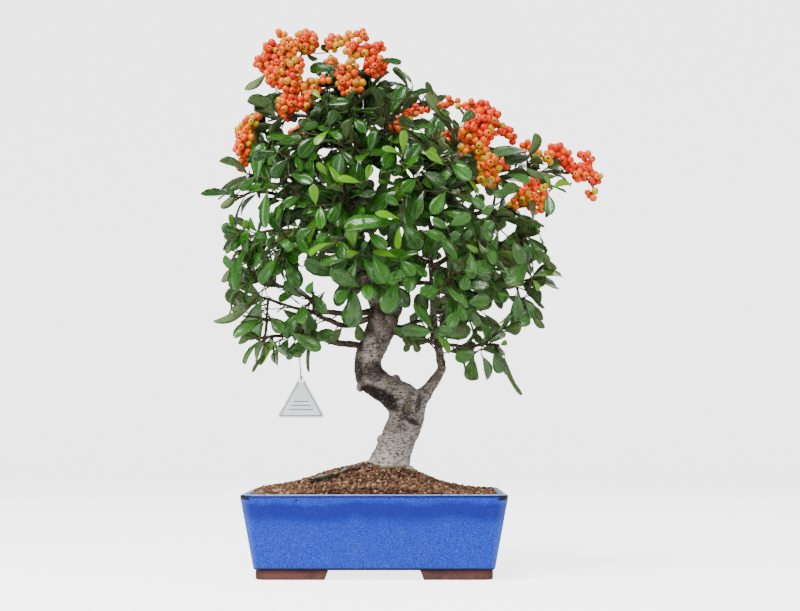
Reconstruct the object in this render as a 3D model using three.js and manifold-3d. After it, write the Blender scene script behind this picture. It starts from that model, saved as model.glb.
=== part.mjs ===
// A pyracantha bonsai in its glazed pot, in millimetres, +Z up, the front of the pot towards -Y.
import * as THREE from "three";
import { mergeVertices } from "three/addons/utils/BufferGeometryUtils.js";
import Module from "manifold-3d";

const wasm = await Module();
wasm.setup();

// Driving dimensions of the pot
const POT = {
  length: 256, depth: 194, height: 81.3, wall: 8, floor: 8, cornerRadius: 13,
  baseInset: 13, footHeight: 9.3, sunk: 0.6,
};
const FOOT = { front: 70, side: 44, width: 15, inset: 1.6, slope: 3.8, cornerRadius: 11 };
const DRAIN = { radius: 10, x: 58 };
const SCREEN = { side: 36, thickness: 1.2 };

// The soil's mound, from the flat rim of soil up to its crown
const MOUND = {
  edge: 78.5, rise: 26.5, x: 2, leftSpread: 72, rightSpread: 56, depthSpread: 62, power: 3.3,
  rings: 4, spokes: 20, grain: 1.5, sway: 0.1,
};

// The flat sides of each kind of rod
const SIDES = {
  trunk: 10, mainStem: 7, secondStem: 6, limb: 4, collar: 8, root: 5, stalk: 3, scar: 12, drain: 12,
};

// Gap that is kept between pieces that touch on the real thing
const GAP = 0.3;

// The middle of the whole object's box, seen from the middle of the pot
const BOX_MIDDLE = { x: 26.3, y: 3.9 };

// The eye that the tree was measured from. A point of the tree is written as the x and z where its
// sight line meets the trunk's plane, and then how far behind that plane it lies.
const EYE = { x: 24.5, y: -1700, z: 151 };

function seen(x, z, depth) {
  const scale = 1 + depth / -EYE.y;
  return new THREE.Vector3(EYE.x + (x - EYE.x) * scale, depth, EYE.z + (z - EYE.z) * scale);
}

// The trunk's middle line: x, z, depth and radius
const TRUNK = [
  [7, 62, 0, 19], [10, 84, 0, 25.5], [12, 97, 0, 23.5], [13.3, 105.7, 0, 20.9], [17.8, 119.6, -1, 18.2],
  [22.1, 131.6, -2, 17.8], [28.7, 146.6, -3, 17.6], [31.5, 159.6, -4, 18.2], [27, 171, -4, 18.4],
  [15, 180.3, -2, 14.8], [4.3, 186.4, 1, 14.2], [-4.2, 194, 3, 14.8], [-7.8, 203, 4, 14.2],
  [-8, 212, 5, 13.5], [-4.7, 221.8, 6, 14], [0.3, 231.9, 5, 14.3], [4.4, 242, 4, 15],
  [8.4, 252.1, 2, 14.8], [12.6, 262, 1, 12.8], [15.8, 268.5, 0, 9],
];
const MAIN_STEM = [
  [7.4, 254.1, 2, 9.8], [2.3, 269.2, 4, 9.4], [-3.7, 284.4, 5, 8.7], [-9.8, 302.6, 4, 8.1],
  [-19.9, 324.9, 2, 7.5], [-27.1, 348.3, 0, 7], [-25.1, 368.6, -2, 6.3], [-18, 394.1, -3, 5.4],
  [-16.1, 419.6, -2, 4.6], [-24.2, 445.2, 0, 3.8], [-36.4, 467.8, 2, 3], [-54.8, 486.3, 3, 2.3],
];
const SECOND_STEM = [
  [34, 166, -2, 11], [44.6, 173.6, -1, 9], [53.6, 183.7, 0, 6.6], [61.7, 195.7, 0, 5.2],
  [66.2, 203.7, 1, 4.9], [64.7, 216.8, 2, 4.3], [62.2, 229.9, 3, 4], [58.7, 250.1, 4, 3.8],
  [57.8, 272.3, 4, 3.6], [56.8, 297.6, 3, 3.4], [54.8, 322.9, 2, 3.2], [60.9, 348.3, 0, 3],
  [71.1, 378.8, -2, 2.7], [80.2, 409.4, -4, 2.3], [87.4, 435, -6, 2],
];

// The limbs: first and last radius, then points as x, z and depth
const LIMBS = {
  lowLeft: [3.6, 1.5, [-6, 224, 3], [-40, 230, -12], [-60, 234, -20], [-78, 238, -28], [-95, 236, -32]],
  lowLeftUpper: [3.2, 1.4, [2, 256, 0], [-32, 247, -4], [-51, 254, 4], [-70, 262, 16], [-95, 268, 22]],
  midLeft: [3.4, 1.4, [2, 262, -2], [-31, 258, -16], [-58, 261, -26], [-78, 253, -38], [-93, 247, -46]],
  midLeftFork: [2.4, 1.4, [-54, 260, -24], [-72, 277, -34], [-90, 285, -36], [-110, 291, -34]],
  left: [3.6, 1.5, [-22, 330, 2], [-60, 334, -18], [-95, 331, -36], [-120, 325, -46]],
  leftUpper: [3.2, 1.4, [-27, 352, 0], [-60, 367, -24], [-92, 376, -38], [-118, 384, -42]],
  leftShoulder: [3.2, 1.4, [-24, 369, -1], [-55, 388, 8], [-85, 403, 10], [-112, 415, 5]],
  topLeft: [3, 1.5, [-17, 406, -3], [-40, 430, -10], [-64, 455, -15], [-82, 480, -15]],
  backLeft: [3, 1.4, [-18, 322, 3], [-48, 333, 38], [-78, 343, 59], [-102, 343, 72]],
  backLeftUpper: [2.6, 1.4, [-20, 386, -2], [-45, 405, 42], [-68, 418, 63]],
  front: [2.8, 1.4, [-25, 346, 0], [-27, 352, -38], [-22, 347, -65], [-14, 338, -86]],
  frontLow: [2.8, 1.4, [-8, 297, 4], [-6, 302, -34], [-2, 299, -59], [2, 296, -81]],
  frontTop: [2.4, 1.4, [-17, 412, -2], [-22, 420, -30], [-20, 424, -54]],
  back: [2.8, 1.4, [-26, 352, 0], [-16, 361, 42], [-8, 367, 72], [-4, 368, 90]],
  backLow: [2.4, 1.4, [-3, 284, 5], [2, 294, 40], [12, 305, 67], [20, 314, 88]],
  top: [2.6, 1.6, [-24, 444, 0], [-22, 470, -5], [-18, 500, -6]],
  topRight: [2.8, 1.4, [-16, 418, -2], [5, 440, 4], [25, 455, 2], [44, 463, -5]],
  topBack: [2.4, 1.4, [-22, 440, 0], [-14, 452, 30], [-2, 458, 52]],
  rightLow: [3, 1.4, [-2, 284, 4], [26, 289, 8], [54, 289, 15], [95, 289, 18], [126, 287, 14]],
  rightBottom: [3, 1.3, [16, 240, 4], [36, 235, -4], [56, 230, -12], [80, 226, -20], [100, 226, -28]],
  rightBottomBack: [2.6, 1.3, [16, 244, 4], [36, 248, 14], [60, 258, 34], [80, 264, 54]],
  rightInner: [2.6, 1.4, [62, 234, 3], [70, 257, -12], [80, 280, -26], [92, 300, -44]],
  rightMiddle: [2.8, 1.4, [56, 306, 2], [85, 320, -10], [116, 327, -16], [136, 332, -22]],
  rightUpper: [2.8, 1.5, [62, 352, 0], [90, 358, -20], [124, 363, -28], [148, 369, -30]],
  farRight: [2.8, 1.5, [73, 385, -2], [100, 392, 0], [138, 398, 4], [172, 402, 5], [196, 402, 5]],
  shoulder: [2.3, 1.6, [80, 409, -4], [92, 425, -14], [104, 440, -22]],
  frontRight: [2.6, 1.4, [57, 340, 1], [50, 364, -32], [42, 384, -58], [35, 394, -70]],
  frontRightTop: [2.2, 1.4, [66, 364, -1], [60, 392, -28], [56, 412, -48]],
  backRight: [2.8, 1.4, [56, 328, 2], [75, 335, 38], [100, 336, 63], [114, 332, 76]],
  backRightTop: [2.4, 1.4, [66, 366, -1], [74, 392, 36], [72, 412, 58]],
  frontLowRight: [2.4, 1.4, [56, 298, 3], [64, 304, -36], [70, 299, -63], [76, 294, -79]],
};

// Knots, burls and the rounded lip of the main branch scar: x, z, depth and radius
const KNOTS = [
  [15.5, 264, 0, 12.2], [20.5, 193, -4, 5.2], [-15, 184, -2, 4.4], [6, 132, -10, 5.6], [44, 166, -7, 7.4],
  [17, 252, -9, 5.4],
];
const SCAR = { x: 32.5, z: 163, depth: -22.4, radius: 6.4, thickness: 3 };

// The roots run from under the trunk out over the mound: points in plan, radii, and how high they ride
const ROOTS = [
  { plan: [[0, -10], [-18, -27], [-38, -41], [-60, -46]], radii: [8.5, 3.2], ride: 0.6 },
  { plan: [[22, -8], [34, -12], [44, -18]], radii: [6.5, 1.6], ride: 0.4 },
  { plan: [[2, 8], [-14, 18], [-30, 24]], radii: [9, 2.6], ride: -0.6 },
  { plan: [[20, 8], [32, 20], [42, 34]], radii: [9, 2.4], ride: -0.8 },
];

// The berry bunches: the limb that carries each and where, then its lobes as x, z, depth and radius
const BUNCHES = [
  {
    limb: "topLeft", share: 1,
    lobes: [[-84, 478, -16, 11], [-98, 502, -14, 12], [-80, 515, -14, 11], [-69, 533, -8, 9]],
  },
  { limb: "top", share: 1, lobes: [[2, 507, -10, 9], [-5, 528, -8, 12], [-32, 533, -8, 10]] },
  { limb: "mainStem", share: 1, lobes: [[-26, 492, -16, 9], [-42, 504, -12, 6]] },
  { limb: "leftShoulder", share: 1, lobes: [[-132, 417, -3, 9], [-129, 441, -1, 9]] },
  { limb: "topRight", share: 0.8, lobes: [[38, 459, -26, 8], [24, 449, -26, 5]] },
  {
    limb: "shoulder", share: 1,
    lobes: [[86, 465, -24, 8], [109, 448, -28, 12], [107, 425, -34, 11], [118, 405, -38, 9]],
  },
  { limb: "rightUpper", share: 1, lobes: [[154, 381, -36, 11], [139, 370, -38, 6]] },
  { limb: "farRight", share: 1, lobes: [[176, 417, 2, 9], [205, 407, 2, 11], [220, 386, 2, 6]] },
  { limb: "backRightTop", share: 1, lobes: [[76, 436, 74, 9]] },
  { limb: "backLeftUpper", share: 1, lobes: [[-78, 438, 80, 9]] },
];
const BERRY = {
  radius: 3.9, out: 2.4, stalk: 1.4, tuft: 7, tuftReach: 3.8, tuftEvery: 3, large: 9.5,
  spacing: 8.4, shy: 2.4, turnX: 0.9, turnY: 1.7, startX: 0.3,
};

// The leafy sprays: limb, share along it, then the tips as x, z and depth, and the number of leaves
const SPRAYS = [
  ["leftUpper", 1, [[-141, 374, -34], [-128, 402, -24]], 6],
  ["left", 1, [[-139, 340, -60], [-140, 312, -44]], 6],
  ["midLeftFork", 1, [[-138, 288, -40], [-124, 306, -60]], 6],
  ["midLeft", 1, [[-134, 256, -48], [-112, 226, -56]], 6],
  ["lowLeft", 1, [[-120, 232, -24], [-102, 218, -22]], 5],
  ["lowLeft", 0.55, [[-62, 236, -56]], 5],
  ["lowLeftUpper", 1, [[-128, 276, 40], [-110, 250, 52]], 6],
  ["left", 0.62, [[-98, 312, -76], [-84, 342, -77]], 6],
  ["leftUpper", 0.62, [[-92, 398, -65], [-74, 374, -76]], 6],
  ["leftShoulder", 0.86, [[-120, 396, 34], [-112, 434, 30]], 5],
  ["topLeft", 0.3, [[-62, 424, -59], [-84, 430, -48]], 6],
  ["topLeft", 0.72, [[-110, 454, -26], [-98, 448, 22]], 6],
  ["front", 1, [[-42, 330, -108], [-4, 342, -113]], 6],
  ["front", 0.5, [[-54, 366, -83], [-30, 386, -81]], 6],
  ["frontLow", 1, [[-20, 280, -104], [14, 288, -106]], 6],
  ["frontLow", 0.45, [[-38, 292, -72], [-30, 262, -67]], 5],
  ["midLeft", 0.55, [[-64, 284, -67], [-76, 258, -68]], 5],
  ["frontTop", 1, [[-38, 436, -76], [-8, 412, -79]], 6],
  ["mainStem", 0.83, [[-52, 452, -38], [-30, 462, -44]], 5],
  ["topRight", 0.55, [[8, 448, -48], [24, 432, -56]], 6],
  ["topRight", 1, [[62, 472, -14], [34, 486, 4]], 5],
  ["top", 0.5, [[-4, 482, 8], [-40, 478, 34]], 5],
  ["frontRight", 1, [[28, 372, -99], [26, 410, -88]], 6],
  ["frontRight", 0.5, [[70, 358, -81], [66, 384, -76]], 6],
  ["frontRightTop", 1, [[56, 436, -67], [80, 404, -70]], 6],
  ["frontLowRight", 1, [[62, 278, -103], [88, 312, -101]], 6],
  ["frontLowRight", 0.5, [[40, 316, -77], [96, 284, -59]], 6],
  ["rightInner", 1, [[112, 300, -68], [104, 334, -74]], 6],
  ["rightUpper", 0.55, [[124, 346, -67], [124, 392, -59]], 6],
  ["rightMiddle", 1, [[160, 338, -44], [158, 312, -52]], 6],
  ["rightLow", 1, [[162, 292, -6], [148, 262, -16]], 6],
  ["rightBottom", 1, [[124, 226, -50], [132, 246, -40]], 6],
  ["rightBottom", 0.5, [[56, 244, -52], [86, 252, -56]], 5],
  ["farRight", 0.62, [[152, 420, -20], [168, 384, -10]], 5],
  ["backLeft", 1, [[-128, 336, 83], [-104, 306, 94]], 6],
  ["backLeft", 0.5, [[-60, 356, 83], [-66, 304, 63]], 5],
  ["backLeftUpper", 0.7, [[-94, 396, 83], [-44, 442, 76]], 5],
  ["back", 1, [[-32, 356, 113], [24, 374, 112]], 6],
  ["backLow", 1, [[-14, 306, 101], [44, 316, 106]], 6],
  ["topBack", 1, [[-14, 466, 70], [28, 448, 68]], 6],
  ["backRightTop", 0.7, [[106, 402, 74], [46, 420, 83]], 5],
  ["backRight", 1, [[134, 326, 92], [96, 304, 97]], 6],
  ["rightBottomBack", 1, [[106, 262, 63], [72, 284, 79]], 6],
];
const TWIG = { base: 1.8, tip: 1.4, bow: 0.1, fork: 0.4, sides: 3, steps: 2 };

// The leaves. An outline's rows are the share along the blade, then its width and its midrib's height
// as shares of the full ones: a blade is a wedge, flat on top and thickest under its midrib.
const LEAF = {
  length: 34, vary: 8, short: 0.75, shape: 0.47, midrib: 1.4, stalk: 0.8, root: 0.25, reach: 0.72,
  spread: 0.95, endSpread: 0.35, spreadDraw: 0.5, outward: 0.35, faceUp: 0.6, faceOut: 0.9,
  curl: 0.25, curlDraw: 0.55, turnSpray: 1.7, turnAttempt: 0.9, turnDraw: 0.8, attempts: 14, clear: 0.35,
  outline: [[0, 0, 0.45], [0.6, 1, 1], [1, 0, 0]],
  freeOutline: [[0.18, 0.25, 1], [0.6, 1, 1], [1.01, 0.1, 0.1]],
};
const CROWN = { middle: seen(10, 350, 0), reach: new THREE.Vector3(180, 130, 170) };

// The card and its wire
const TAG = {
  share: 0.75, limbRadius: 2.1, x: -73, hangHeight: 189, height: 43, halfWidth: 24,
  thickness: 0.9, corner: 5, holeDown: 6.5, holeRadius: 2.4,
};
const WIRE = { radius: 0.55, sides: 6, steps: 12, bend: 1.6, end: 5 };

const COLOURS = {
  glaze: 0x2b55c4, soil: 0x7d4a2e, bark: 0x75685c, leaf: 0x2f6a26, berry: 0xe8501c, card: 0xf6f8f7,
  wire: 0x3c3c3c, screen: 0x22302a,
};

const GOLDEN_ANGLE = Math.PI * (3 - Math.sqrt(5));

// Draws the same number between 0 and 1 for the same four keys
function chance(a, b, c, d) {
  const mixed = Math.sin(a * 12.9898 + b * 78.233 + c * 37.719 + d * 4.581 + 1.7) * 43758.5453;
  return mixed - Math.floor(mixed);
}

// A three.js geometry as a solid: only its places are kept, equal ones are merged, and a shape that
// was mirrored is turned right side out
function toSolid(geometry) {
  const bare = geometry.index ? geometry.toNonIndexed() : geometry.clone();
  bare.deleteAttribute("normal");
  bare.deleteAttribute("uv");
  const merged = mergeVertices(bare, 1e-4);
  const index = merged.index.array;
  const corners = [];
  const [p, q, r] = [new THREE.Vector3(), new THREE.Vector3(), new THREE.Vector3()];
  let volume = 0;
  for (let i = 0; i < index.length; i += 3) {
    const [a, b, c] = [index[i], index[i + 1], index[i + 2]];
    if (a !== b && b !== c && c !== a) {
      corners.push(a, b, c);
      p.fromBufferAttribute(merged.attributes.position, a);
      q.fromBufferAttribute(merged.attributes.position, b);
      r.fromBufferAttribute(merged.attributes.position, c);
      volume += p.dot(q.cross(r));
    }
  }
  if (volume < 0) {
    corners.reverse();
  }
  const mesh = new wasm.Mesh({
    numProp: 3,
    vertProperties: new Float32Array(merged.attributes.position.array),
    triVerts: new Uint32Array(corners),
  });
  return new wasm.Manifold(mesh);
}

function toGeometry(solid) {
  const mesh = solid.getMesh();
  const geometry = new THREE.BufferGeometry();
  geometry.setAttribute("position", new THREE.BufferAttribute(new Float32Array(mesh.vertProperties), 3));
  geometry.setIndex(new THREE.BufferAttribute(new Uint32Array(mesh.triVerts), 1));
  geometry.computeVertexNormals();
  return geometry;
}

function joined(solids) {
  return solids.reduce((whole, next) => whole.add(next));
}

// The largest of the bodies that a cut leaves
function largest(solid) {
  const bodies = solid.decompose();
  return bodies.reduce((best, next) => (next.volume() > best.volume() ? next : best));
}

// Moves every vertex of a geometry by a rule that gets and changes its place
function reshaped(geometry, rule) {
  const places = geometry.attributes.position;
  const point = new THREE.Vector3();
  for (let i = 0; i < places.count; i += 1) {
    point.fromBufferAttribute(places, i);
    rule(point);
    places.setXYZ(i, point.x, point.y, point.z);
  }
  return geometry;
}

// A rod of a few flat sides, bent along a curve: radius(t) is its radius at t of the curve. Each ring
// of corners is turned no further than the curve turns.
function bentRod(curve, radius, sides, steps) {
  const rings = [];
  const isSteep = Math.abs(curve.getTangent(0).z) > 0.9;
  let lead = isSteep ? new THREE.Vector3(1, 0, 0) : new THREE.Vector3(0, 0, 1);
  for (let step = 0; step <= steps; step += 1) {
    const t = step / steps;
    const along = curve.getTangent(t);
    const across = lead.clone().addScaledVector(along, -lead.dot(along)).normalize();
    const beside = across.clone().cross(along);
    rings.push({ middle: curve.getPoint(t), across, beside, radius: radius(t) });
    lead = across;
  }
  return reshaped(new THREE.CylinderGeometry(1, 1, 1, sides, steps), (point) => {
    const ring = rings[Math.round((point.y + 0.5) * steps)];
    const [u, v] = [point.x * ring.radius, point.z * ring.radius];
    point.copy(ring.middle).addScaledVector(ring.across, u).addScaledVector(ring.beside, v);
  });
}

function smoothCurve(points) {
  return new THREE.CatmullRomCurve3(points, false, "catmullrom", 0.5);
}

// The radius at t of a rod whose radii are stated at evenly spaced values of t
function radiusAlong(radii, extra) {
  return (t) => {
    const place = t * (radii.length - 1);
    const lower = Math.min(Math.floor(place), radii.length - 2);
    return radii[lower] + (radii[lower + 1] - radii[lower]) * (place - lower) + extra;
  };
}

function ball(centre, radius) {
  const geometry = new THREE.IcosahedronGeometry(radius, 0);
  geometry.translate(centre.x, centre.y, centre.z);
  return toSolid(geometry);
}

// Pot: a tapering tray with rounded corners
function roundedRectangle(length, depth, radius) {
  const [x, y] = [length / 2 - radius, depth / 2 - radius];
  const shape = new THREE.Shape();
  shape.absarc(x, y, radius, 0, Math.PI / 2);
  shape.absarc(-x, y, radius, Math.PI / 2, Math.PI);
  shape.absarc(-x, -y, radius, Math.PI, Math.PI * 1.5);
  shape.absarc(x, -y, radius, Math.PI * 1.5, Math.PI * 2);
  return shape;
}

// A block between two heights whose walls lean in by an inset at the foot, with the slope of the pot
function taperedBlock(margin, low, high) {
  const slope = POT.baseInset / (POT.height - POT.footHeight);
  const topInset = margin + (POT.height - high) * slope;
  const lean = (high - low) * slope;
  const shape = roundedRectangle(
    POT.length - 2 * topInset, POT.depth - 2 * topInset, POT.cornerRadius - Math.max(margin, 0) / 2,
  );
  const options = { depth: high - low, bevelEnabled: false, curveSegments: 3 };
  const geometry = new THREE.ExtrudeGeometry(shape, options);
  return reshaped(geometry, (point) => {
    if (point.z < 1e-6) {
      point.x -= Math.sign(point.x) * lean;
      point.y -= Math.sign(point.y) * lean;
    }
    point.z += low;
  });
}

// One L-shaped corner foot, for the corner at +x and +y, with its ends sloped in towards the ground
function footGeometry() {
  const x = POT.length / 2 - POT.baseInset - FOOT.inset;
  const y = POT.depth / 2 - POT.baseInset - FOOT.inset;
  const radius = FOOT.cornerRadius;
  const shape = new THREE.Shape();
  shape.moveTo(x - FOOT.front, y);
  shape.lineTo(x - FOOT.front, y - FOOT.width);
  shape.lineTo(x - FOOT.width, y - FOOT.width);
  shape.lineTo(x - FOOT.width, y - FOOT.side);
  shape.lineTo(x, y - FOOT.side);
  shape.absarc(x - radius, y - radius, radius, 0, Math.PI / 2);
  const height = POT.footHeight + POT.sunk;
  const geometry = new THREE.ExtrudeGeometry(shape, { depth: height, bevelEnabled: false, curveSegments: 3 });
  return reshaped(geometry, (point) => {
    const atGround = point.z < 1e-6;
    if (atGround && point.x < x - FOOT.front + 1e-3) {
      point.x += FOOT.slope;
    }
    if (atGround && point.y < y - FOOT.side + 1e-3) {
      point.y += FOOT.slope;
    }
  });
}

function potSolid() {
  const outside = toSolid(taperedBlock(0, POT.footHeight, POT.height));
  const inside = toSolid(taperedBlock(POT.wall, POT.footHeight + POT.floor, POT.height + 1));
  const feet = [[1, 1], [-1, 1], [-1, -1], [1, -1]].map(([sideX, sideY]) => toSolid(
    reshaped(footGeometry(), (point) => point.set(point.x * sideX, point.y * sideY, point.z)),
  ));
  const rod = new THREE.CylinderGeometry(DRAIN.radius, DRAIN.radius, 4 * POT.floor, SIDES.drain);
  const drain = rod.rotateX(Math.PI / 2);
  const drains = [-DRAIN.x, DRAIN.x].map((x) => toSolid(drain.clone().translate(x, 0, POT.footHeight)));
  return joined([outside, ...feet]).subtract(joined([inside, ...drains]));
}

function screenGeometry(x, extra) {
  const side = SCREEN.side + 2 * extra;
  const plate = new THREE.BoxGeometry(side, side, SCREEN.thickness + 2 * extra);
  return plate.translate(x, 0, POT.footHeight + POT.floor + GAP + SCREEN.thickness / 2);
}

// Soil: a mound that is highest round the trunk
function moundHeight(x, y) {
  const spread = x < MOUND.x ? MOUND.leftSpread : MOUND.rightSpread;
  const alongX = 1 / (1 + Math.abs((x - MOUND.x) / spread) ** MOUND.power);
  const alongY = 1 / (1 + Math.abs(y / MOUND.depthSpread) ** MOUND.power);
  return MOUND.edge + MOUND.rise * alongX * alongY;
}

// The mound as rings of points, wider than the pot, for the pot's inside to trim
function moundGeometry() {
  const profile = [new THREE.Vector2(0, 0), new THREE.Vector2(1, 0)];
  for (let ring = MOUND.rings; ring >= 0; ring -= 1) {
    profile.push(new THREE.Vector2(ring / MOUND.rings, POT.height));
  }
  return reshaped(new THREE.LatheGeometry(profile, MOUND.spokes), (point) => {
    const reach = Math.hypot(point.x, point.z);
    const ring = Math.round(reach * MOUND.rings);
    const turn = Math.atan2(point.z, point.x);
    const spoke = Math.round((turn / Math.PI + 1) * MOUND.spokes / 2) % MOUND.spokes;
    const square = reach / Math.max(Math.abs(Math.cos(turn)), Math.abs(Math.sin(turn)));
    const sway = 1 + (ring < MOUND.rings ? MOUND.sway * (chance(spoke, ring, 3, 1) - 0.5) : 0);
    const x = Math.cos(turn) * square * sway * POT.length / 2;
    const y = Math.sin(turn) * square * sway * POT.depth / 2;
    const grain = ring > 0 ? MOUND.grain * (2 * chance(spoke, ring, 5, 1) - 1) : 0;
    point.set(x, y, point.y > 0 ? moundHeight(x, y) + grain : 0);
  });
}

function soilSolid(tree) {
  const [low, high] = [POT.footHeight + POT.floor + GAP, POT.height + MOUND.rise * 2];
  const inside = toSolid(taperedBlock(POT.wall + GAP, low, high));
  const screens = [-DRAIN.x, DRAIN.x].map((x) => toSolid(screenGeometry(x, GAP)));
  return largest(toSolid(moundGeometry()).intersect(inside).subtract(joined([tree, ...screens])));
}

// Tree: the curves that the rods and the twigs follow
function stemCurve(rows) {
  return smoothCurve(rows.map(([x, z, depth]) => seen(x, z, depth)));
}

const curves = {
  trunk: stemCurve(TRUNK), mainStem: stemCurve(MAIN_STEM), secondStem: stemCurve(SECOND_STEM),
};
for (const [name, [, , ...points]] of Object.entries(LIMBS)) {
  curves[name] = stemCurve(points);
}

function endCollar(curve, radius, extra) {
  const [end, along] = [curve.getPoint(1), curve.getTangent(1)];
  const ends = [end.clone().sub(along), end.clone().addScaledVector(along, extra)];
  return toSolid(bentRod(new THREE.LineCurve3(...ends), () => radius + 2 * extra, SIDES.collar, 1));
}

function stemRod(name, rows, extra) {
  const radius = radiusAlong(rows.map((row) => row[3]), extra);
  return toSolid(bentRod(curves[name], radius, SIDES[name], rows.length - 1));
}

// A limb, and where it is made larger to trim a neighbour, a collar that reaches past its end as well
function limbRods(name, extra) {
  const [first, last, ...points] = LIMBS[name];
  const radius = radiusAlong([first, last], extra);
  const rod = toSolid(bentRod(curves[name], radius, SIDES.limb, points.length - 1));
  return extra > 0 ? [rod, endCollar(curves[name], last, extra)] : [rod];
}

function rootRod({ plan, radii, ride }, extra) {
  const points = plan.map(([x, y]) => new THREE.Vector3(x, y, moundHeight(x, y) + ride));
  return toSolid(bentRod(smoothCurve(points), radiusAlong(radii, extra), SIDES.root, points.length));
}

function scarGeometry() {
  const disc = new THREE.CylinderGeometry(SCAR.radius, SCAR.radius, SCAR.thickness, SIDES.scar);
  const middle = seen(SCAR.x, SCAR.z, SCAR.depth);
  return disc.translate(middle.x, middle.y, middle.z);
}

// Every rod and knot of the tree, larger all round by an extra
function treeSolids(extra) {
  return [
    stemRod("trunk", TRUNK, extra),
    stemRod("mainStem", MAIN_STEM, extra),
    stemRod("secondStem", SECOND_STEM, extra),
    endCollar(curves.mainStem, MAIN_STEM.at(-1)[3], extra),
    ...Object.keys(LIMBS).flatMap((name) => limbRods(name, extra)),
    ...KNOTS.map(([x, z, depth, radius]) => ball(seen(x, z, depth), radius + extra)),
    ...ROOTS.map((root) => rootRod(root, extra)),
    toSolid(scarGeometry()),
  ];
}

// Berries. Each sits on a corner of its own, sunk in what carries it and pointing away from it.
function berry(middle, away) {
  const geometry = new THREE.OctahedronGeometry(BERRY.radius, 0);
  const corner = new THREE.Vector3().fromBufferAttribute(geometry.attributes.position, 0).normalize();
  geometry.applyQuaternion(new THREE.Quaternion().setFromUnitVectors(corner, away.clone().negate()));
  return toSolid(geometry.translate(middle.x, middle.y, middle.z));
}

// The directions that a solid's flat faces look in, each once
function faceDirections(geometry) {
  const places = geometry.attributes.position;
  const directions = [];
  for (let i = 0; i < places.count; i += 3) {
    const [a, b, c] = [0, 1, 2].map((j) => new THREE.Vector3().fromBufferAttribute(places, i + j));
    const direction = new THREE.Triangle(a, b, c).getNormal(new THREE.Vector3());
    if (!directions.some((other) => other.dot(direction) > 0.99)) {
      directions.push(direction);
    }
  }
  return directions;
}

// A lobe is a core of eight or twelve sides with a berry on each, or where it is small a tuft of a
// few berries on the stalk. Where another core stands close, the side stays bare.
function lobeBerries(core, others, order) {
  const small = core.radius <= BERRY.tuft;
  const Shape = core.radius < BERRY.large ? THREE.OctahedronGeometry : THREE.DodecahedronGeometry;
  const faces = new Shape(1, 0).rotateX(order * BERRY.turnX + BERRY.startX).rotateY(order * BERRY.turnY);
  const flat = new THREE.Vector3().fromBufferAttribute(faces.attributes.position, 0);
  const directions = faceDirections(faces);
  const size = (core.radius - BERRY.out) / directions[0].dot(flat);
  const reach = small ? BERRY.tuftReach : core.radius;
  const used = directions.filter((_, number) => !small || number % BERRY.tuftEvery === 0);
  const sites = used.map((away) => ({ away, middle: away.clone().multiplyScalar(reach).add(core.middle) }));
  const isBare = (site) => others.some(
    (other) => other.middle.distanceTo(site.middle) < other.radius + BERRY.shy,
  );
  return {
    core: small ? [] : [toSolid(faces.scale(size, size, size).translate(...core.middle))],
    sites: sites.filter((site) => !isBare(site)),
  };
}

// A berry is left out where another of its bunch already stands
function bunchSolid({ limb, share, lobes }) {
  const cores = lobes.map(([x, z, depth, radius]) => ({ middle: seen(x, z, depth), radius }));
  const ends = [curves[limb].getPoint(share), ...cores.map((core) => core.middle)];
  const solids = [];
  const kept = [];
  for (const [order, core] of cores.entries()) {
    const stalk = new THREE.LineCurve3(ends[order], ends[order + 1]);
    const lobe = lobeBerries(core, cores.filter((other) => other !== core), order);
    const isFree = (site) => !kept.some((one) => one.middle.distanceTo(site.middle) < BERRY.spacing);
    solids.push(toSolid(bentRod(stalk, () => BERRY.stalk, SIDES.stalk, 1)), ...lobe.core);
    kept.push(...lobe.sites.filter(isFree));
  }
  return joined([...solids, ...kept.map(({ middle, away }) => berry(middle, away))]);
}

// Leafy sprays: each is a twig, or a fork of two, that bows up a little on its way to its tip
function twigCurve(start, tip) {
  const length = start.distanceTo(tip);
  const middle = start.clone().lerp(tip, 0.5);
  middle.z += TWIG.bow * length;
  return new THREE.QuadraticBezierCurve3(start, middle, tip);
}

function sprayOf([limb, share, tips, leaves], index) {
  const [first, ...others] = tips.map(([x, z, depth]) => seen(x, z, depth));
  const twig = twigCurve(curves[limb].getPoint(share), first);
  const forks = others.map((tip) => twigCurve(twig.getPoint(TWIG.fork), tip));
  return { index, leaves, twigs: [twig, ...forks] };
}

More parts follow.
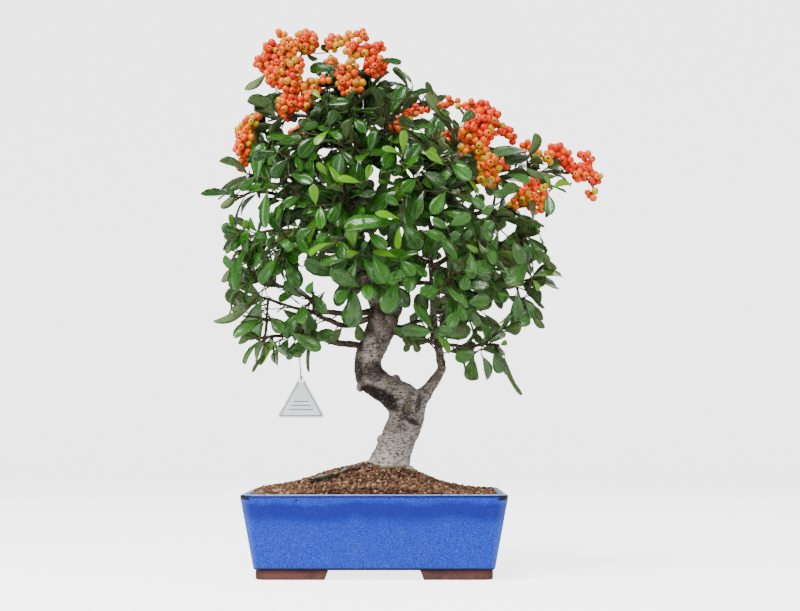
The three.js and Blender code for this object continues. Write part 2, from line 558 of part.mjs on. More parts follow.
// How one leaf lies: it leans out from its twig and from the crown's middle, with its face outward
// and up. A leaf that is in the way is drawn again, as its next attempt.
function leafPose(spray, number, attempt) {
  const draw = (what) => chance(spray.index + 1, number, attempt, what);
  const twig = spray.twigs[number % spray.twigs.length];
  const order = Math.floor(number / spray.twigs.length);
  const count = Math.ceil(spray.leaves / spray.twigs.length);
  const share = 1 - LEAF.reach * (order / count);
  const heart = twig.getPoint(share);
  const along = twig.getTangent(share);
  const level = new THREE.Vector3(along.y, -along.x, 0).normalize();
  const upright = level.clone().cross(along);
  const turn = order * GOLDEN_ANGLE + spray.index * LEAF.turnSpray + attempt * LEAF.turnAttempt
    + (draw(1) - 0.5) * LEAF.turnDraw;
  const spread = order === 0 ? LEAF.endSpread : LEAF.spread + (draw(2) - 0.5) * LEAF.spreadDraw;
  const outward = heart.clone().sub(CROWN.middle).divide(CROWN.reach).normalize();
  const ahead = along.clone().multiplyScalar(Math.cos(spread))
    .addScaledVector(level, Math.sin(spread) * Math.cos(turn))
    .addScaledVector(upright, Math.sin(spread) * Math.sin(turn))
    .addScaledVector(outward, LEAF.outward)
    .normalize();
  const face = new THREE.Vector3(draw(3) - 0.5, draw(4) - 0.5, LEAF.faceUp);
  face.addScaledVector(outward, LEAF.faceOut);
  face.addScaledVector(ahead, -face.dot(ahead)).normalize();
  const size = attempt < LEAF.attempts / 2 ? 1 : LEAF.short;
  const length = (LEAF.length + LEAF.vary * (2 * draw(5) - 1)) * size;
  const root = heart.addScaledVector(ahead, LEAF.root).addScaledVector(face, LEAF.root);
  return { root, ahead, face, length, curl: LEAF.curl + LEAF.curlDraw * draw(6) };
}

// A blade along an arc that bends down from its face. It starts as a three-sided prism, whose corners
// become the two edges and the midrib below.
function bladeGeometry(pose, outline, grow) {
  const { root, ahead, face, length, curl } = pose;
  const side = face.clone().cross(ahead);
  const steps = outline.length - 1;
  return reshaped(new THREE.CylinderGeometry(1, 1, 1, 3, steps), (point) => {
    const [share, width, midrib] = outline[Math.round((0.5 - point.y) * steps)];
    const [sine, cosine] = [Math.sin(curl * share), Math.cos(curl * share)];
    const edge = Math.sign(Math.round(point.x * 4));
    const isMiddle = edge === 0 ? 1 : 0;
    const reach = point.z > 0.6 || edge !== 0 ? 1 : 0;
    const halfWidth = (share < 0.01 ? LEAF.stalk : width * LEAF.shape * length) / 2 + grow;
    const lift = grow - isMiddle * reach * (LEAF.midrib * midrib + 2 * grow);
    point.copy(root)
      .addScaledVector(ahead, length * sine / curl + lift * sine)
      .addScaledVector(face, lift * cosine - length * (1 - cosine) / curl)
      .addScaledVector(side, edge * halfWidth);
  });
}

// What a new leaf has to stay clear of: solids with their boxes, and the spray that each belongs to
function standingSolid(solid, owner) {
  const { min, max } = solid.boundingBox();
  return { solid, owner, box: new THREE.Box3(new THREE.Vector3(...min), new THREE.Vector3(...max)) };
}

function isClear(body, owner, standing) {
  const own = standingSolid(body, owner);
  return !standing.some((other) => other.box.intersectsBox(own.box)
    && !(other.twig && other.owner === owner) && !other.solid.intersect(body).isEmpty());
}

function leafySprays(trimmer, standing) {
  const sprays = SPRAYS.map(sprayOf);
  const bodies = sprays.map((spray) => spray.twigs.map((twig) => toSolid(
    bentRod(twig, (t) => TWIG.base + (TWIG.tip - TWIG.base) * t, TWIG.sides, TWIG.steps),
  )));
  for (const [owner, twigs] of bodies.entries()) {
    standing.push(...twigs.map((twig) => ({ ...standingSolid(twig, owner), twig: true })));
  }
  const most = Math.max(...sprays.map((spray) => spray.leaves));
  for (let number = 0; number < most; number += 1) {
    for (const spray of sprays.filter((one) => number < one.leaves)) {
      for (let attempt = 0; attempt < LEAF.attempts; attempt += 1) {
        const pose = leafPose(spray, number, attempt);
        const free = toSolid(bladeGeometry(pose, LEAF.freeOutline, LEAF.clear));
        if (isClear(free, spray.index, standing)) {
          bodies[spray.index].push(toSolid(bladeGeometry(pose, LEAF.outline, 0)));
          standing.push(standingSolid(toSolid(bladeGeometry(pose, LEAF.freeOutline, 0)), spray.index));
          break;
        }
      }
    }
  }
  return bodies.map((solids) => largest(joined(solids).subtract(trimmer)));
}

// Tag: a three-cornered card with rounded corners, hung by a hooked wire
function tagGeometry(hang) {
  const { halfWidth, height, corner, holeDown, holeRadius, thickness } = TAG;
  const corners = [[0, 0], [halfWidth, -height], [-halfWidth, -height]];
  const ends = corners.map(([x, y]) => new THREE.Vector2(x, y));
  const shape = new THREE.Shape();
  for (const [order, end] of ends.entries()) {
    const [before, after] = [ends[(order + 2) % 3], ends[(order + 1) % 3]];
    const start = end.clone().lerp(before, corner / end.distanceTo(before));
    const stop = end.clone().lerp(after, corner / end.distanceTo(after));
    if (order === 0) {
      shape.moveTo(start.x, start.y);
    } else {
      shape.lineTo(start.x, start.y);
    }
    shape.quadraticCurveTo(end.x, end.y, stop.x, stop.y);
  }
  shape.holes.push(new THREE.Path().absarc(0, -holeDown, holeRadius, 0, Math.PI * 2));
  const card = new THREE.ExtrudeGeometry(shape, { depth: thickness, bevelEnabled: false, curveSegments: 4 });
  card.rotateX(Math.PI / 2);
  return card.translate(hang.x, hang.y + thickness / 2, hang.z + holeDown + holeRadius - WIRE.radius - GAP);
}

// The wire: a hook over the limb, a straight fall, and a small bend through the card's hole
function wireCurve(over, hang) {
  const loop = TAG.limbRadius + GAP + 2 * WIRE.radius;
  const points = [];
  for (const turn of [-60, -20, 20, 60, 100, 140, 180]) {
    const angle = THREE.MathUtils.degToRad(turn);
    const [y, z] = [loop * Math.cos(angle), loop * Math.sin(angle)];
    points.push(new THREE.Vector3(over.x, over.y + y, over.z + z));
  }
  for (const turn of [180, 225, 270, 315, 360]) {
    const angle = THREE.MathUtils.degToRad(turn);
    const [y, z] = [WIRE.bend * Math.cos(angle), WIRE.bend * (1 + Math.sin(angle))];
    points.push(new THREE.Vector3(hang.x, hang.y + y, hang.z + z));
  }
  points.push(new THREE.Vector3(hang.x, hang.y + WIRE.bend, hang.z + WIRE.bend + WIRE.end));
  return smoothCurve(points);
}

function finish(colour, roughness, metalness = 0) {
  return new THREE.MeshStandardMaterial({ color: colour, roughness, metalness });
}

const group = new THREE.Group();

function place(name, solid, material) {
  const mesh = new THREE.Mesh(toGeometry(solid), material);
  mesh.name = name;
  mesh.position.set(-BOX_MIDDLE.x, -BOX_MIDDLE.y, 0);
  group.add(mesh);
}

const tree = joined(treeSolids(0));
const trimmer = joined(treeSolids(GAP));
const over = curves.lowLeft.getPoint(TAG.share);
const fall = over.y - TAG.limbRadius - GAP - 2 * WIRE.radius;
const hang = new THREE.Vector3(TAG.x, fall + WIRE.bend, TAG.hangHeight);
const tag = toSolid(tagGeometry(hang));
const wire = toSolid(bentRod(wireCurve(over, hang), () => WIRE.radius, WIRE.sides, WIRE.steps));
const bunches = BUNCHES.map((bunch) => largest(bunchSolid(bunch).subtract(trimmer)));
const standing = [...treeSolids(0), tag, wire, ...bunches].map((solid) => standingSolid(solid, -1));

place("pot", potSolid(), finish(COLOURS.glaze, 0.2));
place("soil", soilSolid(trimmer), finish(COLOURS.soil, 0.95));
place("drain_screen_left", toSolid(screenGeometry(-DRAIN.x, 0)), finish(COLOURS.screen, 0.6));
place("drain_screen_right", toSolid(screenGeometry(DRAIN.x, 0)), finish(COLOURS.screen, 0.6));
place("tree", tree, finish(COLOURS.bark, 0.9));
place("tag", tag, finish(COLOURS.card, 0.5));
place("tag_wire", wire, finish(COLOURS.wire, 0.4, 0.8));
bunches.forEach((bunch, order) => {
  place(`berry_bunch_${String(order + 1).padStart(2, "0")}`, bunch, finish(COLOURS.berry, 0.35));
});
leafySprays(trimmer, standing).forEach((spray, order) => {
  place(`leafy_spray_${String(order + 1).padStart(2, "0")}`, spray, finish(COLOURS.leaf, 0.35));
});

export default group;
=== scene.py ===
"""A pyracantha bonsai in its glazed pot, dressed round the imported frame.

The tables are in millimetres from the middle of the pot, +Z up and the pot's front towards -Y.
Meshes are in metres in the row's frame, with each object at the origin.
"""
import logging
import math
from dataclasses import dataclass, field, fields
from enum import Enum
from typing import Any

import bpy
import numpy as np
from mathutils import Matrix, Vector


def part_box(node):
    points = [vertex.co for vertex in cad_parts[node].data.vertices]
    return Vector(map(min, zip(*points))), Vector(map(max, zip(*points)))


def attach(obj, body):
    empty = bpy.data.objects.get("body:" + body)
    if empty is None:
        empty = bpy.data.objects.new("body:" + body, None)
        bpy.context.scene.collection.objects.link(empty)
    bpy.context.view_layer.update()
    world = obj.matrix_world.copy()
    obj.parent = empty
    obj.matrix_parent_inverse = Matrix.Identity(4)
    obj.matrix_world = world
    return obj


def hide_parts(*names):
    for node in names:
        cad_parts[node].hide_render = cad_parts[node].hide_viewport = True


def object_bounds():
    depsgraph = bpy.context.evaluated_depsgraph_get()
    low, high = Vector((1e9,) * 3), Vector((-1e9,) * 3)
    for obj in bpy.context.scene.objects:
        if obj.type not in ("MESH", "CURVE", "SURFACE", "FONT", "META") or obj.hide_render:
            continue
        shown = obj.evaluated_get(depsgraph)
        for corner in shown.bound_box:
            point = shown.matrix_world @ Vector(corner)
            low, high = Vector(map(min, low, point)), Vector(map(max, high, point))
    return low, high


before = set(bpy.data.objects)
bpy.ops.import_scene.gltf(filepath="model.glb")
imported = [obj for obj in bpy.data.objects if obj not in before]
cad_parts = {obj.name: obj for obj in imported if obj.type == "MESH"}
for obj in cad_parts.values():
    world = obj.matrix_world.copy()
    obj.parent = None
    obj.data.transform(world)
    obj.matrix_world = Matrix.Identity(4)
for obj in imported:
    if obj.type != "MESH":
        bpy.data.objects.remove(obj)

Array = np.ndarray
Row = tuple[float, ...]
Colour = tuple[float, ...]
Table = list[list[float]]
Socket = bpy.types.NodeSocket
Material = bpy.types.Material
Piece = bpy.types.Object

MM = 0.001
BODY = "root"
CAD_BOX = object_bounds()
GOLDEN_ANGLE = math.pi * (3 - math.sqrt(5))

# What the keys of a draw are scaled by, what is added to them, and what their sine is scaled by
KEY_SCALES = (12.9898, 78.233, 37.719, 4.581)
KEY_START = 1.7
SINE_SCALE = 43758.5453

log = logging.getLogger("bonsai")

# The eye that the tree was measured from. A point of the tree is written as the x and z where its
# sight line meets the trunk's plane, and then how far behind that plane it lies.
EYE = np.array([24.5, -1700.0, 151.0])
CAMERA_PITCH = 3.894
CAMERA_LENS = 76.1

# The trunk's middle line: x, z, depth and radius
TRUNK = [
    [7, 62, 0, 19], [10, 84, 0, 25.5], [12, 97, 0, 23.5], [13.3, 105.7, 0, 20.9], [17.8, 119.6, -1, 18.2],
    [22.1, 131.6, -2, 17.8], [28.7, 146.6, -3, 17.6], [31.5, 159.6, -4, 18.2], [27, 171, -4, 18.4],
    [15, 180.3, -2, 14.8], [4.3, 186.4, 1, 14.2], [-4.2, 194, 3, 14.8], [-7.8, 203, 4, 14.2],
    [-8, 212, 5, 13.5], [-4.7, 221.8, 6, 14], [0.3, 231.9, 5, 14.3], [4.4, 242, 4, 15],
    [8.4, 252.1, 2, 14.8], [12.6, 262, 1, 12.8], [15.8, 268.5, 0, 9],
]
MAIN_STEM = [
    [7.4, 254.1, 2, 9.8], [2.3, 269.2, 4, 9.4], [-3.7, 284.4, 5, 8.7], [-9.8, 302.6, 4, 8.1],
    [-19.9, 324.9, 2, 7.5], [-27.1, 348.3, 0, 7], [-25.1, 368.6, -2, 6.3], [-18, 394.1, -3, 5.4],
    [-16.1, 419.6, -2, 4.6], [-24.2, 445.2, 0, 3.8], [-36.4, 467.8, 2, 3], [-54.8, 486.3, 3, 2.3],
]
SECOND_STEM = [
    [34, 166, -2, 11], [44.6, 173.6, -1, 9], [53.6, 183.7, 0, 6.6], [61.7, 195.7, 0, 5.2],
    [66.2, 203.7, 1, 4.9], [64.7, 216.8, 2, 4.3], [62.2, 229.9, 3, 4], [58.7, 250.1, 4, 3.8],
    [57.8, 272.3, 4, 3.6], [56.8, 297.6, 3, 3.4], [54.8, 322.9, 2, 3.2], [60.9, 348.3, 0, 3],
    [71.1, 378.8, -2, 2.7], [80.2, 409.4, -4, 2.3], [87.4, 435, -6, 2],
]

# The limbs: first and last radius, then points as x, z and depth
LIMBS = {
    "lowLeft": [3.6, 1.5, [-6, 224, 3], [-40, 230, -12], [-60, 234, -20], [-78, 238, -28], [-95, 236, -32]],
    "lowLeftUpper": [3.2, 1.4, [2, 256, 0], [-32, 247, -4], [-51, 254, 4], [-70, 262, 16], [-95, 268, 22]],
    "midLeft": [3.4, 1.4, [2, 262, -2], [-31, 258, -16], [-58, 261, -26], [-78, 253, -38], [-93, 247, -46]],
    "midLeftFork": [2.4, 1.4, [-54, 260, -24], [-72, 277, -34], [-90, 285, -36], [-110, 291, -34]],
    "left": [3.6, 1.5, [-22, 330, 2], [-60, 334, -18], [-95, 331, -36], [-120, 325, -46]],
    "leftUpper": [3.2, 1.4, [-27, 352, 0], [-60, 367, -24], [-92, 376, -38], [-118, 384, -42]],
    "leftShoulder": [3.2, 1.4, [-24, 369, -1], [-55, 388, 8], [-85, 403, 10], [-112, 415, 5]],
    "topLeft": [3, 1.5, [-17, 406, -3], [-40, 430, -10], [-64, 455, -15], [-82, 480, -15]],
    "backLeft": [3, 1.4, [-18, 322, 3], [-48, 333, 38], [-78, 343, 59], [-102, 343, 72]],
    "backLeftUpper": [2.6, 1.4, [-20, 386, -2], [-45, 405, 42], [-68, 418, 63]],
    "front": [2.8, 1.4, [-25, 346, 0], [-27, 352, -38], [-22, 347, -65], [-14, 338, -86]],
    "frontLow": [2.8, 1.4, [-8, 297, 4], [-6, 302, -34], [-2, 299, -59], [2, 296, -81]],
    "frontTop": [2.4, 1.4, [-17, 412, -2], [-22, 420, -30], [-20, 424, -54]],
    "back": [2.8, 1.4, [-26, 352, 0], [-16, 361, 42], [-8, 367, 72], [-4, 368, 90]],
    "backLow": [2.4, 1.4, [-3, 284, 5], [2, 294, 40], [12, 305, 67], [20, 314, 88]],
    "top": [2.6, 1.6, [-24, 444, 0], [-22, 470, -5], [-18, 500, -6]],
    "topRight": [2.8, 1.4, [-16, 418, -2], [5, 440, 4], [25, 455, 2], [44, 463, -5]],
    "topBack": [2.4, 1.4, [-22, 440, 0], [-14, 452, 30], [-2, 458, 52]],
    "rightLow": [3, 1.4, [-2, 284, 4], [26, 289, 8], [54, 289, 15], [95, 289, 18], [126, 287, 14]],
    "rightBottom": [3, 1.3, [16, 240, 4], [36, 235, -4], [56, 230, -12], [80, 226, -20], [100, 226, -28]],
    "rightBottomBack": [2.6, 1.3, [16, 244, 4], [36, 248, 14], [60, 258, 34], [80, 264, 54]],
    "rightInner": [2.6, 1.4, [62, 234, 3], [70, 257, -12], [80, 280, -26], [92, 300, -44]],
    "rightMiddle": [2.8, 1.4, [56, 306, 2], [85, 320, -10], [116, 327, -16], [136, 332, -22]],
    "rightUpper": [2.8, 1.5, [62, 352, 0], [90, 358, -20], [124, 363, -28], [148, 369, -30]],
    "farRight": [2.8, 1.5, [73, 385, -2], [100, 392, 0], [138, 398, 4], [172, 402, 5], [196, 402, 5]],
    "shoulder": [2.3, 1.6, [80, 409, -4], [92, 425, -14], [104, 440, -22]],
    "frontRight": [2.6, 1.4, [57, 340, 1], [50, 364, -32], [42, 384, -58], [35, 394, -70]],
    "frontRightTop": [2.2, 1.4, [66, 364, -1], [60, 392, -28], [56, 412, -48]],
    "backRight": [2.8, 1.4, [56, 328, 2], [75, 335, 38], [100, 336, 63], [114, 332, 76]],
    "backRightTop": [2.4, 1.4, [66, 366, -1], [74, 392, 36], [72, 412, 58]],
    "frontLowRight": [2.4, 1.4, [56, 298, 3], [64, 304, -36], [70, 299, -63], [76, 294, -79]],
}

# Knots, burls, the lip of the main branch scar and lumps on the bare root: x, z, depth and radius
KNOTS = [
    [15.5, 264, 0, 12.2], [20.5, 193, -4, 5.2], [-15, 184, -2, 4.4], [6, 132, -10, 5.6], [44, 166, -7, 7.4],
    [17, 252, -9, 5.4], [-49, 87, -43, 8.0], [-37, 90, -41, 6.6], [-58, 82, -46, 5.6],
]

# The roots run out over the mound: points in plan, radii, and how high they ride
ROOTS = [
    ([[0, -10], [-18, -27], [-38, -41], [-60, -46]], [4.6, 5.6], -1.4),
    ([[22, -8], [34, -12], [44, -18]], [6.5, 1.6], 0.4),
    ([[2, 8], [-14, 18], [-30, 24]], [9, 2.6], -0.6),
    ([[20, 8], [32, 20], [42, 34]], [9, 2.4], -0.8),
]

# The berry bunches: limb, share along it, and lobes as x, z, depth and radius
BUNCHES = [
    ("topLeft", 1, [[-84, 478, -16, 11], [-98, 502, -14, 12], [-80, 515, -14, 11], [-69, 533, -8, 9]]),
    ("top", 1, [[2, 507, -10, 9], [-5, 528, -8, 12], [-32, 533, -8, 10]]),
    ("mainStem", 1, [[-26, 492, -16, 9], [-42, 504, -12, 6]]),
    ("leftShoulder", 1, [[-132, 417, -3, 9], [-129, 441, -1, 9]]),
    ("topRight", 0.8, [[38, 459, -26, 8], [24, 449, -26, 5]]),
    ("shoulder", 1, [[86, 465, -24, 8], [109, 448, -28, 12], [107, 425, -34, 11], [118, 405, -38, 9]]),
    ("rightUpper", 1, [[154, 381, -36, 11], [139, 370, -38, 6]]),
    ("farRight", 1, [[176, 417, 2, 9], [205, 407, 2, 11], [220, 386, 2, 6]]),
    ("backRightTop", 1, [[76, 436, 74, 9]]),
    ("backLeftUpper", 1, [[-78, 438, 80, 9]]),
]

# The berries of each bunch that faces the front, lobe by lobe: x, z, depth, radius and ripeness
LOBES = {
    1: [[-71.2, 535.7, -8, 9.5, 0.6], [-89.5, 529.5, -18, 8, 0.35], [-106.8, 527.4, -14, 7, 0.85],
        [-115.9, 514.1, -14, 6, 0.6], [-98.6, 515.1, -12, 9, 0.8], [-101.6, 500.7, -14, 9, 0.5],
        [-82.3, 511, -18, 7, 0.75], [-87.3, 492.4, -14, 10, 0.75], [-66, 488.3, -16, 7.5, 0.4],
        [-89.3, 470.9, -16, 9, 0.7], [-72, 472.9, -18, 5.5, 0.75], [-91.3, 460.6, -16, 4, 0.7],
        [-96.7, 544, -12, 3.2, 0.5]],
    2: [[-42.7, 534.7, -8, 6.5, 0.5], [-27.4, 539.8, -8, 4, 0.1], [-14.2, 541.9, -8, 5, 0.45],
        [-23.4, 527.4, -11, 6.5, 0.7], [-8.1, 525.4, -8, 6.5, 0.6], [3.1, 529.5, -5, 4.5, 0.75],
        [-0.9, 511, -8, 9, 0.7], [8.2, 515.1, -5, 3, 0.5]],
    3: [[-45.7, 515.1, -12, 4, 0.55], [-35.5, 504.8, -15, 4.5, 0.5], [-25.4, 511, -15, 5, 0.2],
        [-23.3, 500.7, -17, 4, 0.4], [-33.5, 493.5, -19, 5.5, 0.5], [-19.2, 491.4, -17, 5.5, 0.5],
        [-28.4, 484.2, -20, 4, 0.45], [-51.8, 496.6, -17, 3.4, 0.55]],
    4: [[-127.8, 452.4, -3, 5.5, 0.6], [-134.8, 443.2, -3, 6, 0.5], [-134.7, 426.8, -3, 7, 0.6],
        [-136.6, 409.4, -1, 4.5, 0.6], [-120.7, 457.5, 0, 3, 0.3], [-130.7, 436, -7, 5, 0.5]],
    5: [[18.4, 446.3, -28, 3.6, 0.65], [24.5, 453.4, -26, 3.8, 0.7], [32.6, 459.6, -26, 3.8, 0.65],
        [40.8, 465.7, -24, 3.8, 0.55], [48.9, 465.7, -21, 3.2, 0.5]],
    6: [[68.2, 470.9, -21, 3, 0.6], [75.3, 475, -19, 3, 0.7], [83.4, 471.9, -23, 3.4, 0.7],
        [95.6, 469.8, -25, 4.5, 0.7], [107.8, 467.8, -27, 6, 0.85], [106.7, 455.5, -31, 8.5, 0.85],
        [117.9, 457.5, -27, 7, 0.8], [124, 447.3, -25, 5, 0.7], [95.5, 443.2, -33, 8, 0.65],
        [110.7, 442.2, -33, 7, 0.8], [105.6, 429.9, -35, 7, 0.6], [89.4, 424.8, -31, 4, 0.5],
        [103.6, 421.7, -35, 4, 0.6], [115.7, 409.4, -36, 9, 0.4], [110.6, 396.2, -37, 4.6, 0.3],
        [118.7, 393.1, -37, 4.6, 0.3], [130.9, 411.5, -33, 4.4, 0.7], [133.1, 442.2, -13, 4.5, 0.95],
        [138.1, 437, -13, 3.4, 0.95]],
    7: [[158.2, 388, -36, 5.5, 0.7], [167.2, 383.9, -33, 5, 0.6], [150, 377.8, -36, 6.5, 0.35],
        [162.1, 370.7, -36, 7.5, 0.5], [171.2, 365.6, -33, 3.6, 0.6], [138.8, 369.6, -38, 3.2, 0.45]],
    8: [[153.3, 427.8, -2, 4.5, 0.7], [163.4, 417.6, -2, 4.6, 0.25], [173.5, 416.6, 0, 4.4, 0.95],
        [182.7, 424.8, 2, 5.5, 1], [191.8, 417.6, 2, 6, 0.95], [198.8, 407.4, 2, 4.6, 0.9],
        [211, 419.6, 6, 3.6, 0.95], [218.1, 413.5, 6, 3, 0.9], [210.9, 403.3, 2, 6.5, 1],
        [222, 396.2, 2, 5, 0.95], [218.8, 379.8, 2, 4.2, 0.8], [203.8, 399.2, -1, 4, 0.9]],
}

# The leafy sprays: limb, share along it, then the tips as x, z and depth, and the number of leaves
SPRAYS = [
    ("leftUpper", 1, [[-141, 374, -34], [-128, 402, -24]], 6),
    ("left", 1, [[-139, 340, -60], [-140, 312, -44]], 6),
    ("midLeftFork", 1, [[-138, 288, -40], [-124, 306, -60]], 6),
    ("midLeft", 1, [[-134, 256, -48], [-112, 226, -56]], 6),
    ("lowLeft", 1, [[-120, 232, -24], [-102, 218, -22]], 5),
    ("lowLeft", 0.55, [[-62, 236, -56]], 5),
    ("lowLeftUpper", 1, [[-128, 276, 40], [-110, 250, 52]], 6),
    ("left", 0.62, [[-98, 312, -76], [-84, 342, -77]], 6),
    ("leftUpper", 0.62, [[-92, 398, -65], [-74, 374, -76]], 6),
    ("leftShoulder", 0.86, [[-120, 396, 34], [-112, 434, 30]], 5),
    ("topLeft", 0.3, [[-62, 424, -59], [-84, 430, -48]], 6),
    ("topLeft", 0.72, [[-110, 454, -26], [-98, 448, 22]], 6),
    ("front", 1, [[-42, 330, -108], [-4, 342, -113]], 6),
    ("front", 0.5, [[-54, 366, -83], [-30, 386, -81]], 6),
    ("frontLow", 1, [[-20, 280, -104], [14, 288, -106]], 6),
    ("frontLow", 0.45, [[-38, 292, -72], [-30, 262, -67]], 5),
    ("midLeft", 0.55, [[-64, 284, -67], [-76, 258, -68]], 5),
    ("frontTop", 1, [[-38, 436, -76], [-8, 412, -79]], 6),
    ("mainStem", 0.83, [[-52, 452, -38], [-30, 462, -44]], 5),
    ("topRight", 0.55, [[8, 448, -48], [24, 432, -56]], 6),
    ("topRight", 1, [[62, 472, -14], [34, 486, 4]], 5),
    ("top", 0.5, [[-4, 482, 8], [-40, 478, 34]], 5),
    ("frontRight", 1, [[28, 372, -99], [26, 410, -88]], 6),
    ("frontRight", 0.5, [[70, 358, -81], [66, 384, -76]], 6),
    ("frontRightTop", 1, [[56, 436, -67], [80, 404, -70]], 6),
    ("frontLowRight", 1, [[62, 278, -103], [88, 312, -101]], 6),
    ("frontLowRight", 0.5, [[40, 316, -77], [96, 284, -59]], 6),
    ("rightInner", 1, [[112, 300, -68], [104, 334, -74]], 6),
    ("rightUpper", 0.55, [[124, 346, -67], [124, 392, -59]], 6),
    ("rightMiddle", 1, [[160, 338, -44], [158, 312, -52]], 6),
    ("rightLow", 1, [[162, 292, -6], [148, 262, -16]], 6),
    ("rightBottom", 1, [[124, 226, -50], [132, 246, -40]], 6),
    ("rightBottom", 0.5, [[56, 244, -52], [86, 252, -56]], 5),
    ("farRight", 0.62, [[152, 420, -20], [168, 384, -10]], 5),
    ("backLeft", 1, [[-128, 336, 83], [-104, 306, 94]], 6),
    ("backLeft", 0.5, [[-60, 356, 83], [-66, 304, 63]], 5),
    ("backLeftUpper", 0.7, [[-94, 396, 83], [-44, 442, 76]], 5),
    ("back", 1, [[-32, 356, 113], [24, 374, 112]], 6),
    ("backLow", 1, [[-14, 306, 101], [44, 316, 106]], 6),
    ("topBack", 1, [[-14, 466, 70], [28, 448, 68]], 6),
    ("backRightTop", 0.7, [[106, 402, 74], [46, 420, 83]], 5),
    ("backRight", 1, [[134, 326, 92], [96, 304, 97]], 6),
    ("rightBottomBack", 1, [[106, 262, 63], [72, 284, 79]], 6),
]

# Leaves that stand out at the front, their upper side seen: root x and z, tip x and z, width
TOP_LEAVES = [
    [-19.9, 314.8, -56.2, 307.7, 9], [-27, 315.8, -45.1, 294.5, 12], [-18.9, 312.8, -30, 285.4, 12],
    [-19.9, 284.4, -22.8, 244, 17], [-26.9, 285.4, -40, 270.3, 12], [-13.9, 320.9, -9.8, 332, 6],
    [-13.9, 315.8, 9.4, 289.5, 16], [25.5, 350.3, -32.1, 345.2, 14], [26.5, 352.4, 44.7, 323.9, 17],
    [44.7, 343.2, 71, 333, 10], [24.5, 312.8, 39.6, 297.6, 12], [36.6, 310.7, 51.7, 295.5, 8],
    [24.5, 316.8, 42.7, 320.9, 6], [23.5, 295.5, 9.4, 259.1, 19], [36.6, 305.7, 33.6, 280.4, 13],
    [-3.8, 317.8, 11.4, 289.5, 17], [-109.1, 386, -110.9, 345.2, 10], [-127.1, 340.2, -144.2, 323.9, 8],
    [-100.8, 340.2, -109.8, 325.9, 8], [-97.7, 331, -82.6, 324.9, 12], [-62.4, 346.3, -80.6, 335.1, 10],
    [-46.2, 340.2, -59.4, 333, 10], [-56.4, 368.6, -55.4, 344.2, 12], [-34.2, 371.7, -46.3, 351.3, 12],
    [-97.7, 316.8, -117.7, 289.5, 13], [-114.6, 274.3, -121.4, 233.9, 18],
    [-106.4, 255.1, -92.3, 240, 14], [-86.2, 240, -55, 221.9, 14], [-97.2, 225.9, -99.1, 206.8, 9],
    [-87.2, 234.9, -94.2, 217.8, 10], [-88.1, 219.8, -74, 215.8, 7], [-63.3, 291.5, -69.3, 279.3, 8],
    [-90.6, 314.8, -77.3, 284.4, 16], [73, 347.3, 96.3, 358.5, 12], [74, 344.2, 56.9, 354.4, 9],
    [77, 329, 82.1, 342.2, 9], [89.2, 331, 96.3, 343.2, 8], [95.2, 322.9, 97.1, 293.5, 12],
    [93.1, 300.6, 88, 282.4, 12], [73, 316.8, 88.1, 302.6, 12], [103.2, 296.5, 116.3, 294.5, 7],
    [138.7, 333, 148.6, 308.7, 16], [148.8, 332, 156.7, 313.8, 10], [152.8, 337.1, 166.8, 308.7, 8],
    [143.5, 281.4, 142.3, 252.1, 14], [149.5, 272.3, 158.5, 256.1, 10], [136.4, 275.3, 118.2, 275.3, 12],
    [90, 269.2, 115.2, 273.3, 14], [85, 263.2, 72.8, 245, 14], [83, 270.3, 90, 251.1, 10],
    [97, 262.2, 104, 246, 10], [105.1, 252.1, 115.1, 232.9, 9], [103, 220.8, 79.8, 212.8, 14],
    [98.9, 217.8, 96.8, 190.7, 14], [106, 217.8, 113.9, 192.7, 9], [118, 220.8, 126, 198.7, 12],
    [104, 221.9, 129.1, 220.8, 13], [58.7, 241, 37.6, 267.2, 10], [57.7, 240, 35.6, 241, 11],
    [61.8, 246, 76.8, 241, 7], [-38.6, 508.9, -67.1, 507.9, 12], [-47.8, 525.4, -55.9, 532.6, 7],
    [-100.5, 485.2, -118.7, 463.7, 8], [-51.7, 470.9, -27.3, 473.9, 8], [-48.6, 447.3, -40.5, 465.7, 11],
    [-51.7, 469.8, -62.8, 463.7, 9], [-76, 445.2, -58.7, 452.4, 9], [-101.3, 430.9, -75.9, 437, 10],
    [-58.7, 440.1, -76.9, 417.6, 16], [-47.5, 444.2, -34.3, 436, 8], [-89, 416.6, -105.1, 396.2, 13],
    [-79.9, 419.6, -76.8, 403.3, 9], [-97.2, 421.7, -125.5, 417.6, 10], [-86.9, 400.2, -63.6, 391.1, 11],
    [19.4, 423.7, 7.3, 407.4, 14], [85.4, 451.4, 98.6, 464.7, 10], [71.2, 441.1, 63.1, 454.5, 7],
    [45.8, 403.3, 69.1, 391.1, 12], [41.7, 395.1, 26.5, 382.9, 13], [71.1, 382.9, 56.9, 359.5, 14],
    [48.8, 383.9, 38.7, 353.4, 11], [133.8, 379.8, 118.6, 379.8, 9], [156.3, 422.7, 120.8, 419.6, 6],
    [158.3, 417.6, 130.9, 411.5, 9], [174.3, 380.9, 176.2, 358.5, 12], [130.9, 400.2, 156.1, 391.1, 7],
    [75.2, 411.5, 96.4, 395.1, 15], [3.1, 517.1, 25.5, 513, 5], [16.4, 476, 0.1, 488.3, 8],
    [32.6, 478.1, 53, 486.3, 6], [42.8, 447.3, 22.5, 457.5, 9], [-24.2, 457.5, -10, 443.2, 10],
    [-36.3, 424.8, -20.1, 408.4, 9], [24.5, 367.6, 10.3, 377.8, 10], [105.4, 347.3, 117.4, 333, 12],
    [121.6, 369.6, 107.4, 359.5, 9], [-121.4, 398.2, -137.5, 383.9, 9], [-76.7, 377.8, -92.9, 367.6, 10],
    [-141.5, 373.7, -149.7, 388, 7], [95.3, 377.8, 109.5, 365.6, 10],
]
